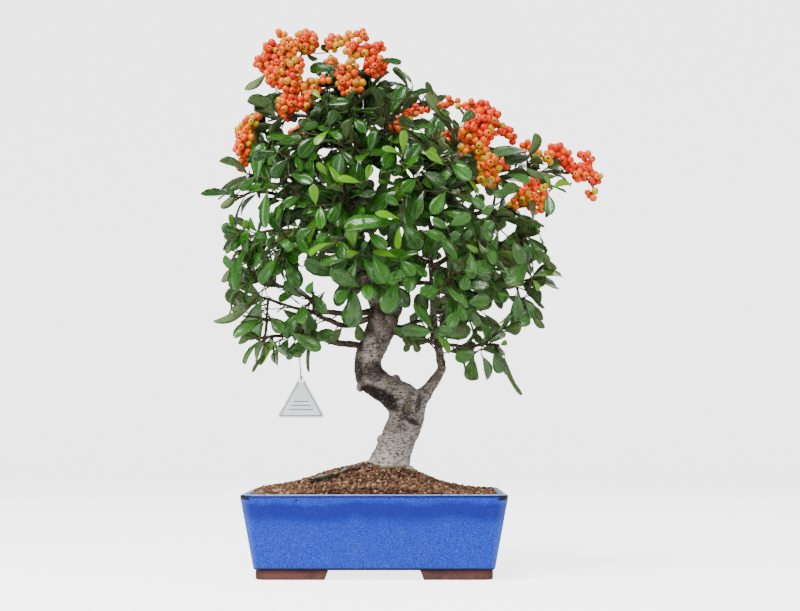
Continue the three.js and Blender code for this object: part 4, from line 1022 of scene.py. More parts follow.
@dataclass(frozen=True)
class LeafTop:
    """The upper side of a leaf: glossy green, veined and specked with white, duller low in the crown.

    Its edge has a painted highlight, and it is darker with painted shade high in the crown.
    """

    deep: Colour = linear(4, 28, 3)
    green: Colour = linear(44, 108, 12)
    young: Colour = linear(98, 158, 14)
    rib: Colour = linear(96, 138, 56)
    dusty: Colour = linear(110, 142, 88)
    speck: Colour = linear(206, 216, 200)
    # Heights and places in metres between which the leaves turn fresh, shady or dull
    fresh: Row = (0.46, 0.2)
    shady: Row = (0.4, 0.47)
    dull: Row = (0.33, 0.2)
    dull_side: Row = (0.0, 0.08)
    veins: float = 9.0
    vein_slant: float = 0.42

    def material(self) -> Material:
        """Makes the upper side's material.

        Returns:
            The material.
        """
        recipe = Recipe("leaf_top")
        place = recipe.spot()
        on_leaf = recipe.on_surface()
        across = recipe.part(on_leaf, "X")
        along = recipe.part(on_leaf, "Y")
        off_middle = recipe.off_half(across)
        green = recipe.mix(recipe.draw("tint"), self.deep, self.green)
        height = recipe.part(place, "Z")
        lower = recipe.band(height, *self.fresh)
        fresh = recipe.times(recipe.band(recipe.noise(place, 160, 3), 0.35, 0.7), lower)
        clouded = recipe.mix(fresh, green, self.green)
        high = recipe.times(recipe.band(height, *self.shady), 0.55)
        shady = recipe.mix(high, clouded, self.deep)
        side = recipe.band(recipe.part(place, "X"), *self.dull_side)
        low = recipe.sum("MAXIMUM", recipe.band(height, *self.dull), recipe.times(side, 0.8))
        dulled = recipe.mix(recipe.times(low, 0.26), shady, self.dusty)
        aged = recipe.mix(recipe.draw("age"), dulled, self.young)
        slanted = recipe.sum("SUBTRACT", along, recipe.times(off_middle, self.vein_slant))
        vein = recipe.off_half(recipe.sum("FRACT", recipe.times(slanted, self.veins)))
        veins = recipe.band(vein, 0.07, 0.0)
        veined = recipe.mix(recipe.times(veins, 0.12), aged, self.rib)
        midrib = recipe.band(off_middle, 0.036, 0.008)
        ribbed = recipe.mix(recipe.times(midrib, 0.42), veined, self.rib)
        # A painted highlight along the leaf's edge
        rim = recipe.band(off_middle, 0.465, 0.5)
        edge_highlighted = recipe.mix(recipe.times(rim, 0.45), ribbed, self.rib)
        grit = recipe.band(recipe.cells(place, 720), 0.2, 0.08)
        drifts = recipe.sum("ADD", recipe.noise(place, 46, 2), recipe.times(low, 0.1))
        crowd = recipe.band(drifts, 0.46, 0.62)
        specks = recipe.times(grit, crowd)
        specked = recipe.mix(recipe.times(specks, 0.75), edge_highlighted, self.speck)
        groove = recipe.sum("ADD", veins, recipe.times(midrib, 2.0))
        return recipe.done(
            Base_Color=specked, Roughness=recipe.band(recipe.noise(place, 300, 2), -0.5, 3.2),
            Specular_IOR_Level=0.42,
            Normal=recipe.relief(groove, -0.0005, 0.8),
        )


@dataclass(frozen=True)
class LeafUnder:
    """The matte underside of a leaf, grey-olive, with a raised midrib."""

    olive: Colour = linear(96, 118, 62)
    dark: Colour = linear(58, 82, 36)
    young: Colour = linear(136, 176, 52)
    rib: Colour = linear(122, 138, 88)

    def material(self) -> Material:
        """Makes the underside's material.

        Returns:
            The material.
        """
        recipe = Recipe("leaf_under")
        place = recipe.spot()
        across = recipe.part(recipe.on_surface(), "X")
        off_middle = recipe.off_half(across)
        down = recipe.noise(place, 900, 3)
        ground = recipe.mix(recipe.band(down, 0.35, 0.65), self.dark, self.olive)
        aged = recipe.mix(recipe.draw("age"), ground, self.young)
        midrib = recipe.times(recipe.band(off_middle, 0.04, 0.012), 0.6)
        ribbed = recipe.mix(midrib, aged, self.rib)
        return recipe.done(Base_Color=ribbed, Roughness=0.72, Normal=recipe.relief(down, 0.0003, 0.4))


@dataclass(frozen=True)
class BerrySkin:
    """Taut glossy skin from yellow-green through orange to red, with a dark eye.

    It is darker high up: painted shade against the strong light from above.
    """

    unripe: Colour = linear(200, 166, 0)
    peach: Colour = linear(254, 138, 12)
    orange: Colour = linear(250, 90, 0)
    red: Colour = linear(228, 26, 0)
    painted_shade_red: Colour = linear(150, 30, 0)
    eye: Colour = linear(40, 20, 10)
    ring: Colour = linear(232, 150, 56)
    # Ripeness at which the skin turns orange and red, heights in metres at which it is darker with painted
    # shade, and shares of the way from pole to pole of the ring and the eye
    to_orange: Row = (0.05, 0.4)
    to_red: Row = (0.4, 0.9)
    high: Row = (0.42, 0.5)
    ring_edge: Row = (0.17, 0.11)
    eye_edge: Row = (0.115, 0.08)

    def material(self) -> Material:
        """Makes the berries' material.

        Returns:
            The material.
        """
        recipe = Recipe("berry_skin")
        place = recipe.spot()
        ripe = recipe.draw("age")
        down = recipe.part(recipe.on_surface(), "Y")
        turning = recipe.mix(recipe.band(ripe, *self.to_orange), self.unripe, self.orange)
        ripened = recipe.mix(recipe.band(ripe, *self.to_red), turning, self.red)
        blush = recipe.mix(recipe.band(recipe.noise(place, 210, 2), 0.5, 0.85), ripened, self.orange)
        paler = recipe.times(recipe.band(recipe.draw("tint"), 0.6, 0.9), 0.6)
        varied = recipe.mix(paler, blush, self.peach)
        # Painted shade: darker high up, against the strong light from above
        high = recipe.band(recipe.part(place, "Z"), *self.high)
        shaded_high = recipe.mix(recipe.times(high, 0.25), varied, self.painted_shade_red)
        pale = recipe.mix(recipe.times(recipe.band(down, *self.ring_edge), 0.5), shaded_high, self.ring)
        eyed = recipe.mix(recipe.band(down, *self.eye_edge), pale, self.eye)
        dots = recipe.noise(place, 2600, 1)
        return recipe.done(
            Base_Color=eyed, Roughness=0.26, Specular_IOR_Level=0.3,
            Normal=recipe.relief(dots, 0.0001, 0.35),
        )


@dataclass(frozen=True)
class Card:
    """A white plastic card with a plain teal line round it and three short teal rules."""

    white: Colour = linear(253, 254, 254)
    teal: Colour = linear(0, 122, 130)

    def material(self) -> Material:
        """Makes the card's material, whose places are how far in from the edge they lie in centimetres.

        Returns:
            The material.
        """
        recipe = Recipe("tag_card")
        place = recipe.on_surface()
        far = recipe.part(place, "X")
        line = recipe.times(recipe.band(far, 0.15, 0.16), recipe.band(far, 0.25, 0.24))
        fibres = recipe.noise(recipe.spot(), 1200, 2)
        lined = recipe.mix(recipe.times(line, 0.9), self.white, self.teal)
        ruled = recipe.mix(recipe.draw("age"), lined, self.teal)
        return recipe.done(Base_Color=ruled, Roughness=0.38, Normal=recipe.relief(fibres, 0.0001, 0.3))


@dataclass(frozen=True)
class Netting:
    """Black plastic netting over the drain holes, its holes painted dark as the shade seen through them."""

    black: Colour = linear(30, 34, 30)
    # The holes between the bars, painted dark as the shade seen through them
    gap: Colour = linear(12, 10, 8)
    pitch: float = 0.003

    def material(self) -> Material:
        """Makes the netting's material: bars where either coordinate is near a whole pitch.

        Returns:
            The material.
        """
        recipe = Recipe("drain_netting")
        place = recipe.spot()
        bars = []
        for axis in "XY":
            steps = recipe.sum("DIVIDE", recipe.part(place, axis), self.pitch)
            bars.append(recipe.band(recipe.off_half(recipe.sum("FRACT", steps)), 0.2, 0.26))
        bar = recipe.sum("MAXIMUM", bars[0], bars[1])
        return recipe.done(Base_Color=recipe.mix(bar, self.gap, self.black), Roughness=0.6,
                           Normal=recipe.relief(bar, 0.0008, 0.8))


@dataclass(frozen=True)
class Clouded:
    """A plain finish that runs cloudily from one colour to another, its relief the same clouds."""

    name: str
    first: Colour
    second: Colour
    scale: float
    detail: float
    low: float
    high: float
    rough: float
    relief: float
    strength: float
    metal: float = 0.0

    def material(self) -> Material:
        """Makes the finish's material.

        Returns:
            The material.
        """
        recipe = Recipe(self.name)
        clouds = recipe.noise(recipe.spot(), self.scale, self.detail)
        ground = recipe.mix(recipe.band(clouds, self.low, self.high), self.first, self.second)
        return recipe.done(
            Base_Color=ground, Metallic=self.metal, Roughness=self.rough,
            Normal=recipe.relief(clouds, self.relief, self.strength),
        )


class Finishes:
    """Every material of the object, made once."""

    def __init__(self) -> None:
        """Makes the materials."""
        self.glaze = Glaze().material()
        self.clay = FiredClay().material()
        self.grains = Grains().material()
        self.bed = Bed().material()
        self.trunk = Bark(
            BarkKind.TRUNK, linear(134, 122, 112), linear(66, 52, 42), linear(206, 198, 190),
        ).material()
        self.limb = Bark(
            BarkKind.LIMB, linear(106, 92, 78), linear(50, 39, 31), linear(156, 144, 128),
        ).material()
        self.twig = Bark(
            BarkKind.TWIG, linear(78, 68, 44), linear(44, 36, 26), linear(112, 104, 74),
        ).material()
        self.leaf_top = LeafTop().material()
        self.leaf_under = LeafUnder().material()
        self.berry = BerrySkin().material()
        self.stalk = Clouded(
            "berry_stalk", linear(112, 112, 58), linear(98, 66, 44), scale=500, detail=3,
            low=0.35, high=0.65, rough=0.75, relief=0.0003, strength=0.5,
        ).material()
        self.card = Card().material()
        self.wire = Clouded(
            "iron_wire", linear(70, 66, 62), linear(92, 62, 46), scale=600, detail=3,
            low=0.45, high=0.65, rough=0.5, relief=0.0001, strength=0.4, metal=0.8,
        ).material()
        self.netting = Netting().material()
        self.moss = Clouded(
            "dry_moss", linear(92, 92, 48), linear(168, 162, 130), scale=900, detail=4,
            low=0.4, high=0.62, rough=0.95, relief=0.0012, strength=0.9,
        ).material()


def dress(piece: Piece, slot: str, *nodes: str) -> Piece:
    """Makes a piece ride on the object's body and stand for nodes, whose CAD parts it hides.

    Args:
        piece: The piece.
        slot: The record's material slot; not used.
        nodes: The CAD nodes that it replaces, if any.

    Returns:
        The piece.
    """
    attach(piece, BODY)
    if nodes:
        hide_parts(*nodes)
    log.info("%s: %d faces", piece.name, len(piece.data.polygons))
    return piece


@dataclass(frozen=True)
class Mound:
    """The soil's surface: a rise that falls off both ways from the trunk, and a slope down to the wall."""

    edge: float = 78.5
    half_length: float = 118.6
    half_depth: float = 87.8
    wall_height: float = 79.6
    wall_slope: float = 1.1
    rise: float = 26.5
    x: float = 2
    left_spread: float = 72
    right_spread: float = 56
    depth_spread: float = 62
    power: float = 3.3

    def height(self, x: Array, y: Array) -> Array:
        """The edge height plus the rise over one plus a power of the distance, for x times for y.

        Near the wall it is no higher than the wall's own height plus a share of the gap to it.

        Args:
            x: The places' x.
            y: Their y.

        Returns:
            The height at each.
        """
        spread = np.where(x < self.x, self.left_spread, self.right_spread)
        along_x = 1 / (1 + np.abs((x - self.x) / spread) ** self.power)
        along_y = 1 / (1 + np.abs(y / self.depth_spread) ** self.power)
        gap = np.minimum(self.half_length - np.abs(x), self.half_depth - np.abs(y))
        limit = self.wall_height + self.wall_slope * np.maximum(gap, 0)
        return np.minimum(self.edge + self.rise * along_x * along_y, limit)


@dataclass
class Pot:
    """The tray: one wall profile carried round a rectangle with round corners, and four feet."""

    length: float = 256
    depth: float = 194
    height: float = 81.3
    wall: float = 8
    floor: float = 8
    floor_inset: float = 3
    corner: float = 13
    base_inset: float = 13
    foot_height: float = 9.3
    drain: float = 10
    drain_x: float = 58
    corner_steps: int = 12
    foot_front: float = 70
    foot_side: float = 44
    foot_width: float = 15
    foot_inset: float = 1.6
    foot_slope: float = 3.8
    foot_corner: float = 11

    def outline(self, inset: Array) -> Array:
        """The rectangle's outline at each inset: corner arcs joined by straight sides.

        Args:
            inset: How far in from the outer rim each outline runs.

        Returns:
            x and y for each inset and each step of the outline.
        """
        straight = 14
        bend = np.linspace(0, math.pi / 2, self.corner_steps)
        radius = np.maximum(self.corner - 0.45 * inset, 5.0)[:, None]
        points = []
        for quarter, (side_x, side_y) in enumerate([(1, 1), (-1, 1), (-1, -1), (1, -1)]):
            middle_x = side_x * (self.length / 2 - inset[:, None] - radius)
            middle_y = side_y * (self.depth / 2 - inset[:, None] - radius)
            angle = bend + quarter * math.pi / 2
            points.append(joined(middle_x + radius * np.cos(angle), middle_y + radius * np.sin(angle)))
        parts = []
        for quarter in range(4):
            here, after = points[quarter], points[(quarter + 1) % 4]
            share = (np.arange(1, straight) / straight)[None, :, None]
            parts += [here, here[:, -1:] * (1 - share) + after[:, :1] * share]
        return np.concatenate(parts, axis=1)

    def profile(self) -> Array:
        """The wall's section as inset and height: up the outside, over the rim, down to the floor.

        Returns:
            A row for each ring of the wall.
        """
        slope = self.base_inset / (self.height - self.foot_height)
        rim, edge, under = 2.2, 1.4, 5.0
        rise = np.linspace(self.foot_height + 1.5, self.height - rim, 16)
        outer = [[self.base_inset + inset, self.foot_height] for inset in (under, edge)]
        outer += [[(self.height - z) * slope, z] for z in rise]
        bend = np.linspace(math.pi, 0, 9)
        top = self.wall / 2 + (self.wall / 2 - 0.2) * np.cos(bend)
        over = joined(top, self.height - rim + rim * np.sin(bend))[1:-1]
        fall = np.linspace(self.height - rim, self.foot_height + self.floor, 10)
        inner = [[self.wall + (self.height - z) * slope, z] for z in fall]
        inner += [[self.base_inset + self.wall + 8.0, self.foot_height + self.floor]]
        return np.vstack([outer, over, inner])

    def build(self, skin: Skin) -> None:
        """Adds the wall, a floor plate in two halves with a drain hole in each, and the feet.

        Args:
            skin: The piece that they are added to.
        """
        profile = self.profile()
        outline = self.outline(profile[:, 0])
        wall = joined(outline[..., 0], outline[..., 1], profile[:, 1, None])[::-1]
        grid = wall.shape[:2]
        near = np.arange(grid[1]) % (grid[1] // 4) - (self.corner_steps - 1) / 2
        # On the corners the tint draw marks thin glaze with a painted highlight, and the age draw painted
        # dark glints near the rim
        thin, glint = (np.broadcast_to(hump(near, 0, width), grid) for width in (2.6, 5.5))
        skin.add(wall, [net(*grid, round_rows=True)], 0, tint=thin, age=glint)
        for side in (-1, 1):
            skin.add(*self.floor_half(side), 1, tint=0.0, age=0.0)
        for side_x, side_y in [(1, 1), (-1, 1), (-1, -1), (1, -1)]:
            points, faces = self.foot()
            if side_x * side_y < 0:
                faces = [rows[:, ::-1] for rows in faces]
            skin.add(points * np.array([side_x, side_y, 1]), faces, 1)

    def floor_half(self, side: int) -> tuple[Array, list[Array]]:
        """Half of the floor: rays from the drain hole's rim out to the half's edges, on two levels.

        Args:
            side: -1 for the left half and 1 for the right.

        Returns:
            The points and the faces.
        """
        steps, least, seam = 96, 1e-6, 0.05
        way_x, way_y = np.cos(turns(steps)), np.sin(turns(steps))
        half_depth = self.depth / 2 - self.base_inset - self.floor_inset
        far = self.length / 2 - self.base_inset - self.floor_inset - self.drain_x
        room_x = np.where(way_x * side > 0, far, self.drain_x)
        reach = np.minimum(
            room_x / np.maximum(np.abs(way_x), least), half_depth / np.maximum(np.abs(way_y), least))
        shares = np.array([0.0, 1.0, 1.0, 0.0])[:, None]
        radius = self.drain + (reach - self.drain) * shares
        low, high = self.foot_height + seam, self.foot_height + self.floor - seam
        level = np.array([low, low, high, high])[:, None]
        points = joined(side * self.drain_x + way_x * radius, way_y * radius, level)
        return points, [net(4, steps, round_rows=True)[:, ::-1]]

    def foot(self) -> tuple[Array, list[Array]]:
        """An L-shaped foot: a round-edged bar bent round the corner, its ends sloped in to the ground.

        The path runs in along x, round the corner and along y. The ends are drawn in by the slope for
        each unit that a point of the section lies below the top.

        Returns:
            The points and the faces.
        """
        x = self.length / 2 - self.base_inset - self.foot_inset
        y = self.depth / 2 - self.base_inset - self.foot_inset
        width, top, bevel = self.foot_width, self.foot_height + 0.5, 1.2
        section = np.array([
            [0, top], [0, bevel], [bevel * 0.3, bevel * 0.3], [bevel, 0], [width - bevel, 0],
            [width - bevel * 0.3, bevel * 0.3], [width, bevel], [width, top],
        ])
        inset, height = section.T
        draw_in = self.foot_slope * (1 - height / top)
        bend = np.linspace(math.pi / 2, 0, 9)
        radius = np.maximum(self.foot_corner - inset, 0.0)
        centre = np.array([x - self.foot_corner, y - self.foot_corner])
        inner = np.maximum(inset - self.foot_corner, 0.0)
        corner_x = centre[0] - inner + radius * np.cos(bend)[:, None]
        corner_y = centre[1] - inner + radius * np.sin(bend)[:, None]
        share = np.linspace(0, 1, 8)[:-1, None]
        start_x = (x - self.foot_front + draw_in) * (1 - share) + corner_x[0] * share
        start_y = np.broadcast_to(y - inset, start_x.shape)
        end_y = (y - self.foot_side + draw_in) * (1 - share[::-1]) + corner_y[-1] * share[::-1]
        end_x = np.broadcast_to(x - inset, end_y.shape)
        path_x = np.concatenate([start_x, corner_x, end_x])
        path_y = np.concatenate([start_y, corner_y, end_y])
        points = joined(path_x, path_y, height)
        return points, shell(*path_x.shape, turned=True)

    def dress(self, finishes: Finishes) -> None:
        """Builds the pot and puts its netting over the drain holes.

        Args:
            finishes: The materials.
        """
        skin = Skin()
        self.build(skin)
        dress(skin.piece("pot_tray", [finishes.glaze, finishes.clay]), "glazed_pot", "pot")
        for node in ("drain_screen_left", "drain_screen_right"):
            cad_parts[node].material_slots[0].material = finishes.netting


@dataclass
class Soil:
    """The mound of soil, the loose grains on it, a few stones, and moss at the trunk's foot."""

    mound: Mound = field(default_factory=Mound)
    corner: float = 8
    bottom: float = 60
    sunk: float = 1.2
    grain: float = 2.9
    jitter: float = 0.8
    cushions: int = 16
    # The trunk's foot in plan: x, y and radius
    trunk: Row = (12, 0, 20)
    # The stones: x, y and radius
    stones: tuple[Row, ...] = (
        (-13, -40, 3.0), (38, -52, 2.4), (-62, -30, 2.2), (70, -44, 2.0), (-92, -60, 2.4), (20, 58, 2.6),
    )

    def inside(self, x: Array, y: Array, margin: float) -> Array:
        """Whether places in plan lie inside the pot's rounded inner rim, less a margin.

        Args:
            x: The places' x.
            y: Their y.
            margin: How far from the rim they stay.

        Returns:
            A mask of the places.
        """
        over_x = np.maximum(np.abs(x) - (self.mound.half_length - margin - self.corner), 0)
        over_y = np.maximum(np.abs(y) - (self.mound.half_depth - margin - self.corner), 0)
        return np.hypot(over_x, over_y) < self.corner

    def bed(self) -> Skin:
        """The mound: a square grid pressed into a round-cornered outline, closed by a flat bottom.

        Returns:
            The skin of the piece.
        """
        skin = Skin()
        steps, power = 72, 9
        way = joined(np.cos(turns(steps)), np.sin(turns(steps)))
        sizes = np.array([self.mound.half_length, self.mound.half_depth])
        rim = way / (np.abs(way / sizes) ** power).sum(axis=-1, keepdims=True) ** (1 / power)
        share = np.concatenate([[0.01], np.linspace(0.06, 1, 30)])[:, None, None]
        x, y = np.moveaxis(rim * share, -1, 0)
        relief = lumps(joined(x, y, 0.0), cell=9, seed=3, octaves=2)
        height = self.mound.height(x, y) - self.sunk + 0.8 * relief
        points = np.concatenate([joined(x, y, height), joined(x[-1:], y[-1:], self.bottom)])
        skin.add(points, shell(len(points), steps, turned=True))
        return skin

    def grains(self) -> Skin:
        """Loose grains: jittered on a slanted grid, each a lumpy eight-sided crumb cut once more.

        Returns:
            The skin of the piece.
        """
        spacing = self.grain
        columns = np.arange(-self.mound.half_length, self.mound.half_length, spacing)
        rows = np.arange(-self.mound.half_depth, self.mound.half_depth, spacing * 0.87)
        j, i = np.meshgrid(np.arange(len(rows)), np.arange(len(columns)), indexing="ij")
        x = columns[i] + (j % 2) * spacing / 2 + (chance(i, j, 1, 0) - 0.5) * spacing * self.jitter
        y = rows[j] + (chance(i, j, 2, 0) - 0.5) * spacing * self.jitter
        clear = np.hypot(x - self.trunk[0], y - self.trunk[1]) > self.trunk[2]
        kept = self.inside(x, y, 0.6) & clear & ~self.on_root(x, y, ROOTS[1])[1]
        x, y, key = x[kept], y[kept], (i * 311.0 + j)[kept]
        size = 1.05 + 1.0 * chance(key, 3, 0, 0) ** 2
        base, faces = self.crumb()
        copies = len(x)
        number = np.arange(len(base))
        lumpy = 0.78 + 0.44 * chance(key[:, None], number, 5, 0)
        stretch = 0.75 + 0.5 * joined(*(chance(key, 6, axis, 0) for axis in range(3)))
        turn = chance(key, 7, 0, 0) * 2 * math.pi
        cosine, sine = np.cos(turn), np.sin(turn)
        shape = base[None] * lumpy[..., None] * (stretch * size[:, None])[:, None]
        px = shape[..., 0] * cosine[:, None] - shape[..., 1] * sine[:, None]
        py = shape[..., 0] * sine[:, None] + shape[..., 1] * cosine[:, None]
        ground = np.maximum(self.mound.height(x, y), self.on_root(x, y, ROOTS[0])[0])
        z = ground - 0.6 + size * 0.35 + 1.2 * chance(key, 8, 0, 0)
        points = joined(px + x[:, None], py + y[:, None], shape[..., 2] + z[:, None])
        tint = np.repeat(chance(key, 9, 0, 0), len(base))
        skin = Skin()
        skin.add(points, [repeated(faces, copies, len(base))], 0, tint=tint)
        return skin

    def on_root(self, x: Array, y: Array, root: tuple[Table, Row, float]) -> tuple[Array, Array]:
        """Where a root lies under places in plan.

        Args:
            x: The places' x.
            y: Their y.
            root: A row of the roots' table.

        Returns:
            The height of the root's back where soil has slid over it, and whether the root is near.
        """
        plan, radii, ride = root
        across, deep = np.array(plan, dtype=float).T
        share = np.linspace(0, 1, 40)
        path = Smooth(joined(across, deep, self.mound.height(across, deep) + ride)).at(share)
        off_x, off_y = x[..., None] - path[:, 0], y[..., None] - path[:, 1]
        gap = np.hypot(off_x, off_y)
        nearest = gap.argmin(axis=-1)
        gap = gap.min(axis=-1)
        radius = np.interp(share, [0, 1], radii)[nearest]
        behind = np.take_along_axis(off_y, nearest[..., None], axis=-1)[..., 0] > -0.4 * radius
        top = path[nearest, 2] + np.sqrt(np.maximum(radius**2 - gap**2, 0))
        covered = (behind | (share[nearest] < 0.52)) & (gap < radius)
        return np.where(covered, top, 0.0), gap < radius + 0.5

    @staticmethod
    def crumb() -> tuple[Array, Array]:
        """A ball of 18 points: the six of an eight-sided die and the middles of its edges.

        Returns:
            The points and the faces.
        """
        die = np.array([[1, 0, 0], [-1, 0, 0], [0, 1, 0], [0, -1, 0], [0, 0, 1], [0, 0, -1]], dtype=float)
        sides = [(0, 2, 4), (2, 1, 4), (1, 3, 4), (3, 0, 4), (2, 0, 5), (1, 2, 5), (3, 1, 5), (0, 3, 5)]
        edges = sorted({tuple(sorted(pair)) for a, b, c in sides for pair in ((a, b), (b, c), (c, a))})
        number = {edge: 6 + order for order, edge in enumerate(edges)}
        points = np.vstack([die, unit(np.array([die[a] + die[b] for a, b in edges]))])
        faces = []
        for a, b, c in sides:
            ab, bc, ca = (number[tuple(sorted(pair))] for pair in ((a, b), (b, c), (c, a)))
            faces += [(a, ab, ca), (b, bc, ab), (c, ca, bc), (ab, bc, ca)]
        return points, np.array(faces)

    def pebbles(self) -> Skin:
        """A few smooth tan stones on the mound.

        Returns:
            The skin of the piece.
        """
        skin = Skin()
        for number, (x, y, size) in enumerate(self.stones):
            height = float(self.mound.height(np.array(x), np.array(y)))
            radii = size * np.array([1.35, 1.0, 0.75])
            stone = globe(np.array([x, y, height + size * 0.5]), radii, rings=9, sides=14)
            skin.add(**stone, tint=0.86 + 0.02 * number)
        return skin

    def moss(self) -> Skin:
        """Low cushions of moss round the trunk's foot: flat globes with a lumpy skin.

        Returns:
            The skin of the piece.
        """
        skin = Skin()
        for number in range(self.cushions):
            angle = number * GOLDEN_ANGLE
            reach = 22 + 7 * chance(number, 31, 0, 0)
            x, y = self.trunk[0] + reach * math.cos(angle), self.trunk[1] + reach * math.sin(angle)
            height = float(self.mound.height(np.array(x), np.array(y)))
            size = 3.2 + 3.2 * chance(number, 32, 0, 0)
            radii = np.array([size, size, 1.9])
            cushion = globe(np.array([x, y, height + 0.9]), radii, rings=9, sides=18)
            swell = 1 + 0.22 * lumps(cushion["points"], cell=2.4, seed=7)[..., None]
            cushion["points"] = (cushion["points"] - [x, y, height]) * swell + [x, y, height]
            skin.add(**cushion)
        return skin

    def dress(self, finishes: Finishes) -> None:
        """Builds the soil's pieces.

        Args:
            finishes: The materials.
        """
        dress(self.bed().piece("soil_mound", [finishes.bed]), "soil", "soil")
        dress(self.grains().piece("soil_grains", [finishes.grains], smooth=False), "soil")
        dress(self.pebbles().piece("soil_stones", [finishes.grains]), "soil")
        dress(self.moss().piece("trunk_moss", [finishes.moss]), "bark")


@dataclass
class Tree:
    """The trunk, its two stems and its roots as one grown skin, and the limbs."""

    mound: Mound = field(default_factory=Mound)
    voxel: float = 0.95
    limb_swell: float = 0.12
    limb_sway: float = 0.7
    # The scar: its middle as x and z, the depth it lies in front of, its half width and height, its
    # relief, and the angle of its shaded side in degrees
    scar: Row = (32.5, 163)
    scar_front: float = -14
    scar_size: Row = (5.4, 7.0)
    scar_relief: float = 2.4
    scar_shade: float = 215
    # Stains and painted shade as seen from the front, such as the shade under the trunk's bend: x, z, half
    # length, half width, angle in degrees and strength
    stains_and_shade: tuple[Row, ...] = (
        (5, 174, 23, 8.5, -31, 1), (-19, 198, 14, 6, 90, 0.75), (-1, 200, 9, 11, 0, 0.6),
        (28, 156, 5, 4, 40, 0.7), (-6, 138, 9, 3, 90, 0.7), (12, 262, 9, 5, 20, 0.7),
        (43, 168, 10, 3, 80, 0.8), (37, 150, 8, 2.6, -25, 0.9), (-21, 226, 14, 3, 70, 0.7),
        (-1, 146, 6, 9, 60, 0.35), (22, 143, 12, 5, 0, 0.3),
    )
    # A painted highlight, laid on as bleached bark: x, z, half width and half height
    sheen: Row = (-6, 221, 8, 17)
    # Nothing behind this depth is seen from the front
    seen_front: float = 8

    def stem(self, skin: Skin, rows: Table, sides: int, steps: int) -> None:
        """Adds a stem as a tube whose radius runs evenly between those stated.

        Args:
            skin: The piece that it is added to.
            rows: Its middle line.
            sides: Points in a ring.
            steps: Rings along it.
        """
        share = np.linspace(0, 1, steps)
        radii = np.interp(share, np.linspace(0, 1, len(rows)), [row[3] for row in rows])
        points = Smooth(seen(rows)).at(share)
        skin.add(**tube(points, radii, sides, (1, 0.25, 0)))

    def body(self) -> Skin:
        """The trunk, stems, knots and roots before they are grown together.

        Returns:
            The skin of the piece.
        """
        skin = Skin()
        self.stem(skin, TRUNK, sides=40, steps=130)
        self.stem(skin, MAIN_STEM, sides=24, steps=110)
        self.stem(skin, SECOND_STEM, sides=20, steps=110)
        for row in KNOTS:
            skin.add(**globe(seen([row])[0], np.full(3, row[3] * 0.98), rings=14, sides=20))
        for plan, radii, ride in ROOTS:
            x, y = np.array(plan, dtype=float).T
            path = Smooth(joined(x, y, self.mound.height(x, y) + ride))
            share = np.linspace(0, 1, 30)
            skin.add(**tube(path.at(share), np.interp(share, [0, 1], radii), 16, (0, 0, 1)))
        return skin

    def grown(self, piece: Piece) -> None:
        """Grows the overlapping tubes together by remeshing them in small cubes and smoothing.

        Args:
            piece: The stems' piece.
        """
        remesh = piece.modifiers.new("grow", "REMESH")
        remesh.mode = "VOXEL"
        remesh.voxel_size = self.voxel * MM
        smooth = piece.modifiers.new("ease", "SMOOTH")
        smooth.factor = 0.5
        smooth.iterations = 7
        graph = bpy.context.evaluated_depsgraph_get()
        mesh = bpy.data.meshes.new_from_object(piece.evaluated_get(graph))
        piece.modifiers.clear()
        piece.data = mesh

    def weather(self, piece: Piece) -> None:
        """Raises the bark's relief and sets the draws for moss, the bare scar, stains and painted shade,
        and bleached bark and painted highlights.

        The relief is broad lumps, finer ones and narrow dents across the stem, less on thin stems.
        The scar is a raised ring round a shallow dish, on the side that faces the front; its groove is
        darker on the shaded side, as painted shade. A stain is strongest inside its ellipse; the stains
        are partly real and partly painted shade, such as the one under the trunk's bend. The bare root is
        darker as painted shade where it faces sideways and down, and paler as a painted highlight on top.
        The bark is bleached low down, and the sheen is a painted highlight.

        Args:
            piece: The grown piece.
        """
        mesh = piece.data
        place, normal = read(mesh.vertices, "co"), read(mesh.vertex_normals, "vector")
        points = from_row(place)
        x, y, z = points.T
        broad = lumps(points, cell=11, seed=11, octaves=2)
        fine = lumps(points * [1, 1, 1.7], cell=3.6, seed=12, octaves=2)
        dents = np.clip(lumps(points * [0.45, 0.45, 2.6], cell=5.0, seed=13) - 0.35, 0, 1)
        thick = np.maximum(below(z, 262, 60), 0.25)
        relief = thick * (0.85 * broad + 0.42 * fine - 0.9 * dents)
        off = (points[:, [0, 2]] - self.scar) / self.scar_size
        reach = np.hypot(off[:, 0], off[:, 1]) * (1 + 0.12 * fine)
        front = y < self.scar_front
        ring = hump(reach, 1.0, 0.22) * self.scar_relief
        dish = np.clip(1 - reach, 0, 1) ** 0.5 * self.scar_relief
        relief = np.where(front & (reach < 1.8), relief * 0.5 + ring - dish, relief)
        # The groove is darker on the scar's shaded side: painted shade, put in the stain draw
        lean = 0.5 + 0.5 * np.cos(np.arctan2(off[:, 1], off[:, 0]) - math.radians(self.scar_shade))
        groove = 1.3 * lean * hump(reach, 0.86, 0.2) + (1 - lean) * 0.7 * hump(reach, 1.42, 0.2)
        stain = np.where(front, groove, 0.0)
        places = flat(points)
        in_front = y < self.seen_front
        # Stains, partly real and partly painted shade, such as the shade under the trunk's bend
        for middle_x, middle_z, along, across, angle, strength in self.stains_and_shade:
            cosine, sine = math.cos(math.radians(angle)), math.sin(math.radians(angle))
            part = (places - [middle_x, middle_z]) @ np.array([[cosine, -sine], [sine, cosine]])
            edge = np.hypot(part[:, 0] / along, part[:, 1] / across) + 0.14 * broad
            stain = np.maximum(stain, np.clip(2.9 - 2.4 * edge, 0, 1) * strength * in_front)
        on_root = (x < -14) & (y < -14) & (z < 112)
        relief = np.where(on_root, 2.0 * broad + 1.4 * fine, relief)
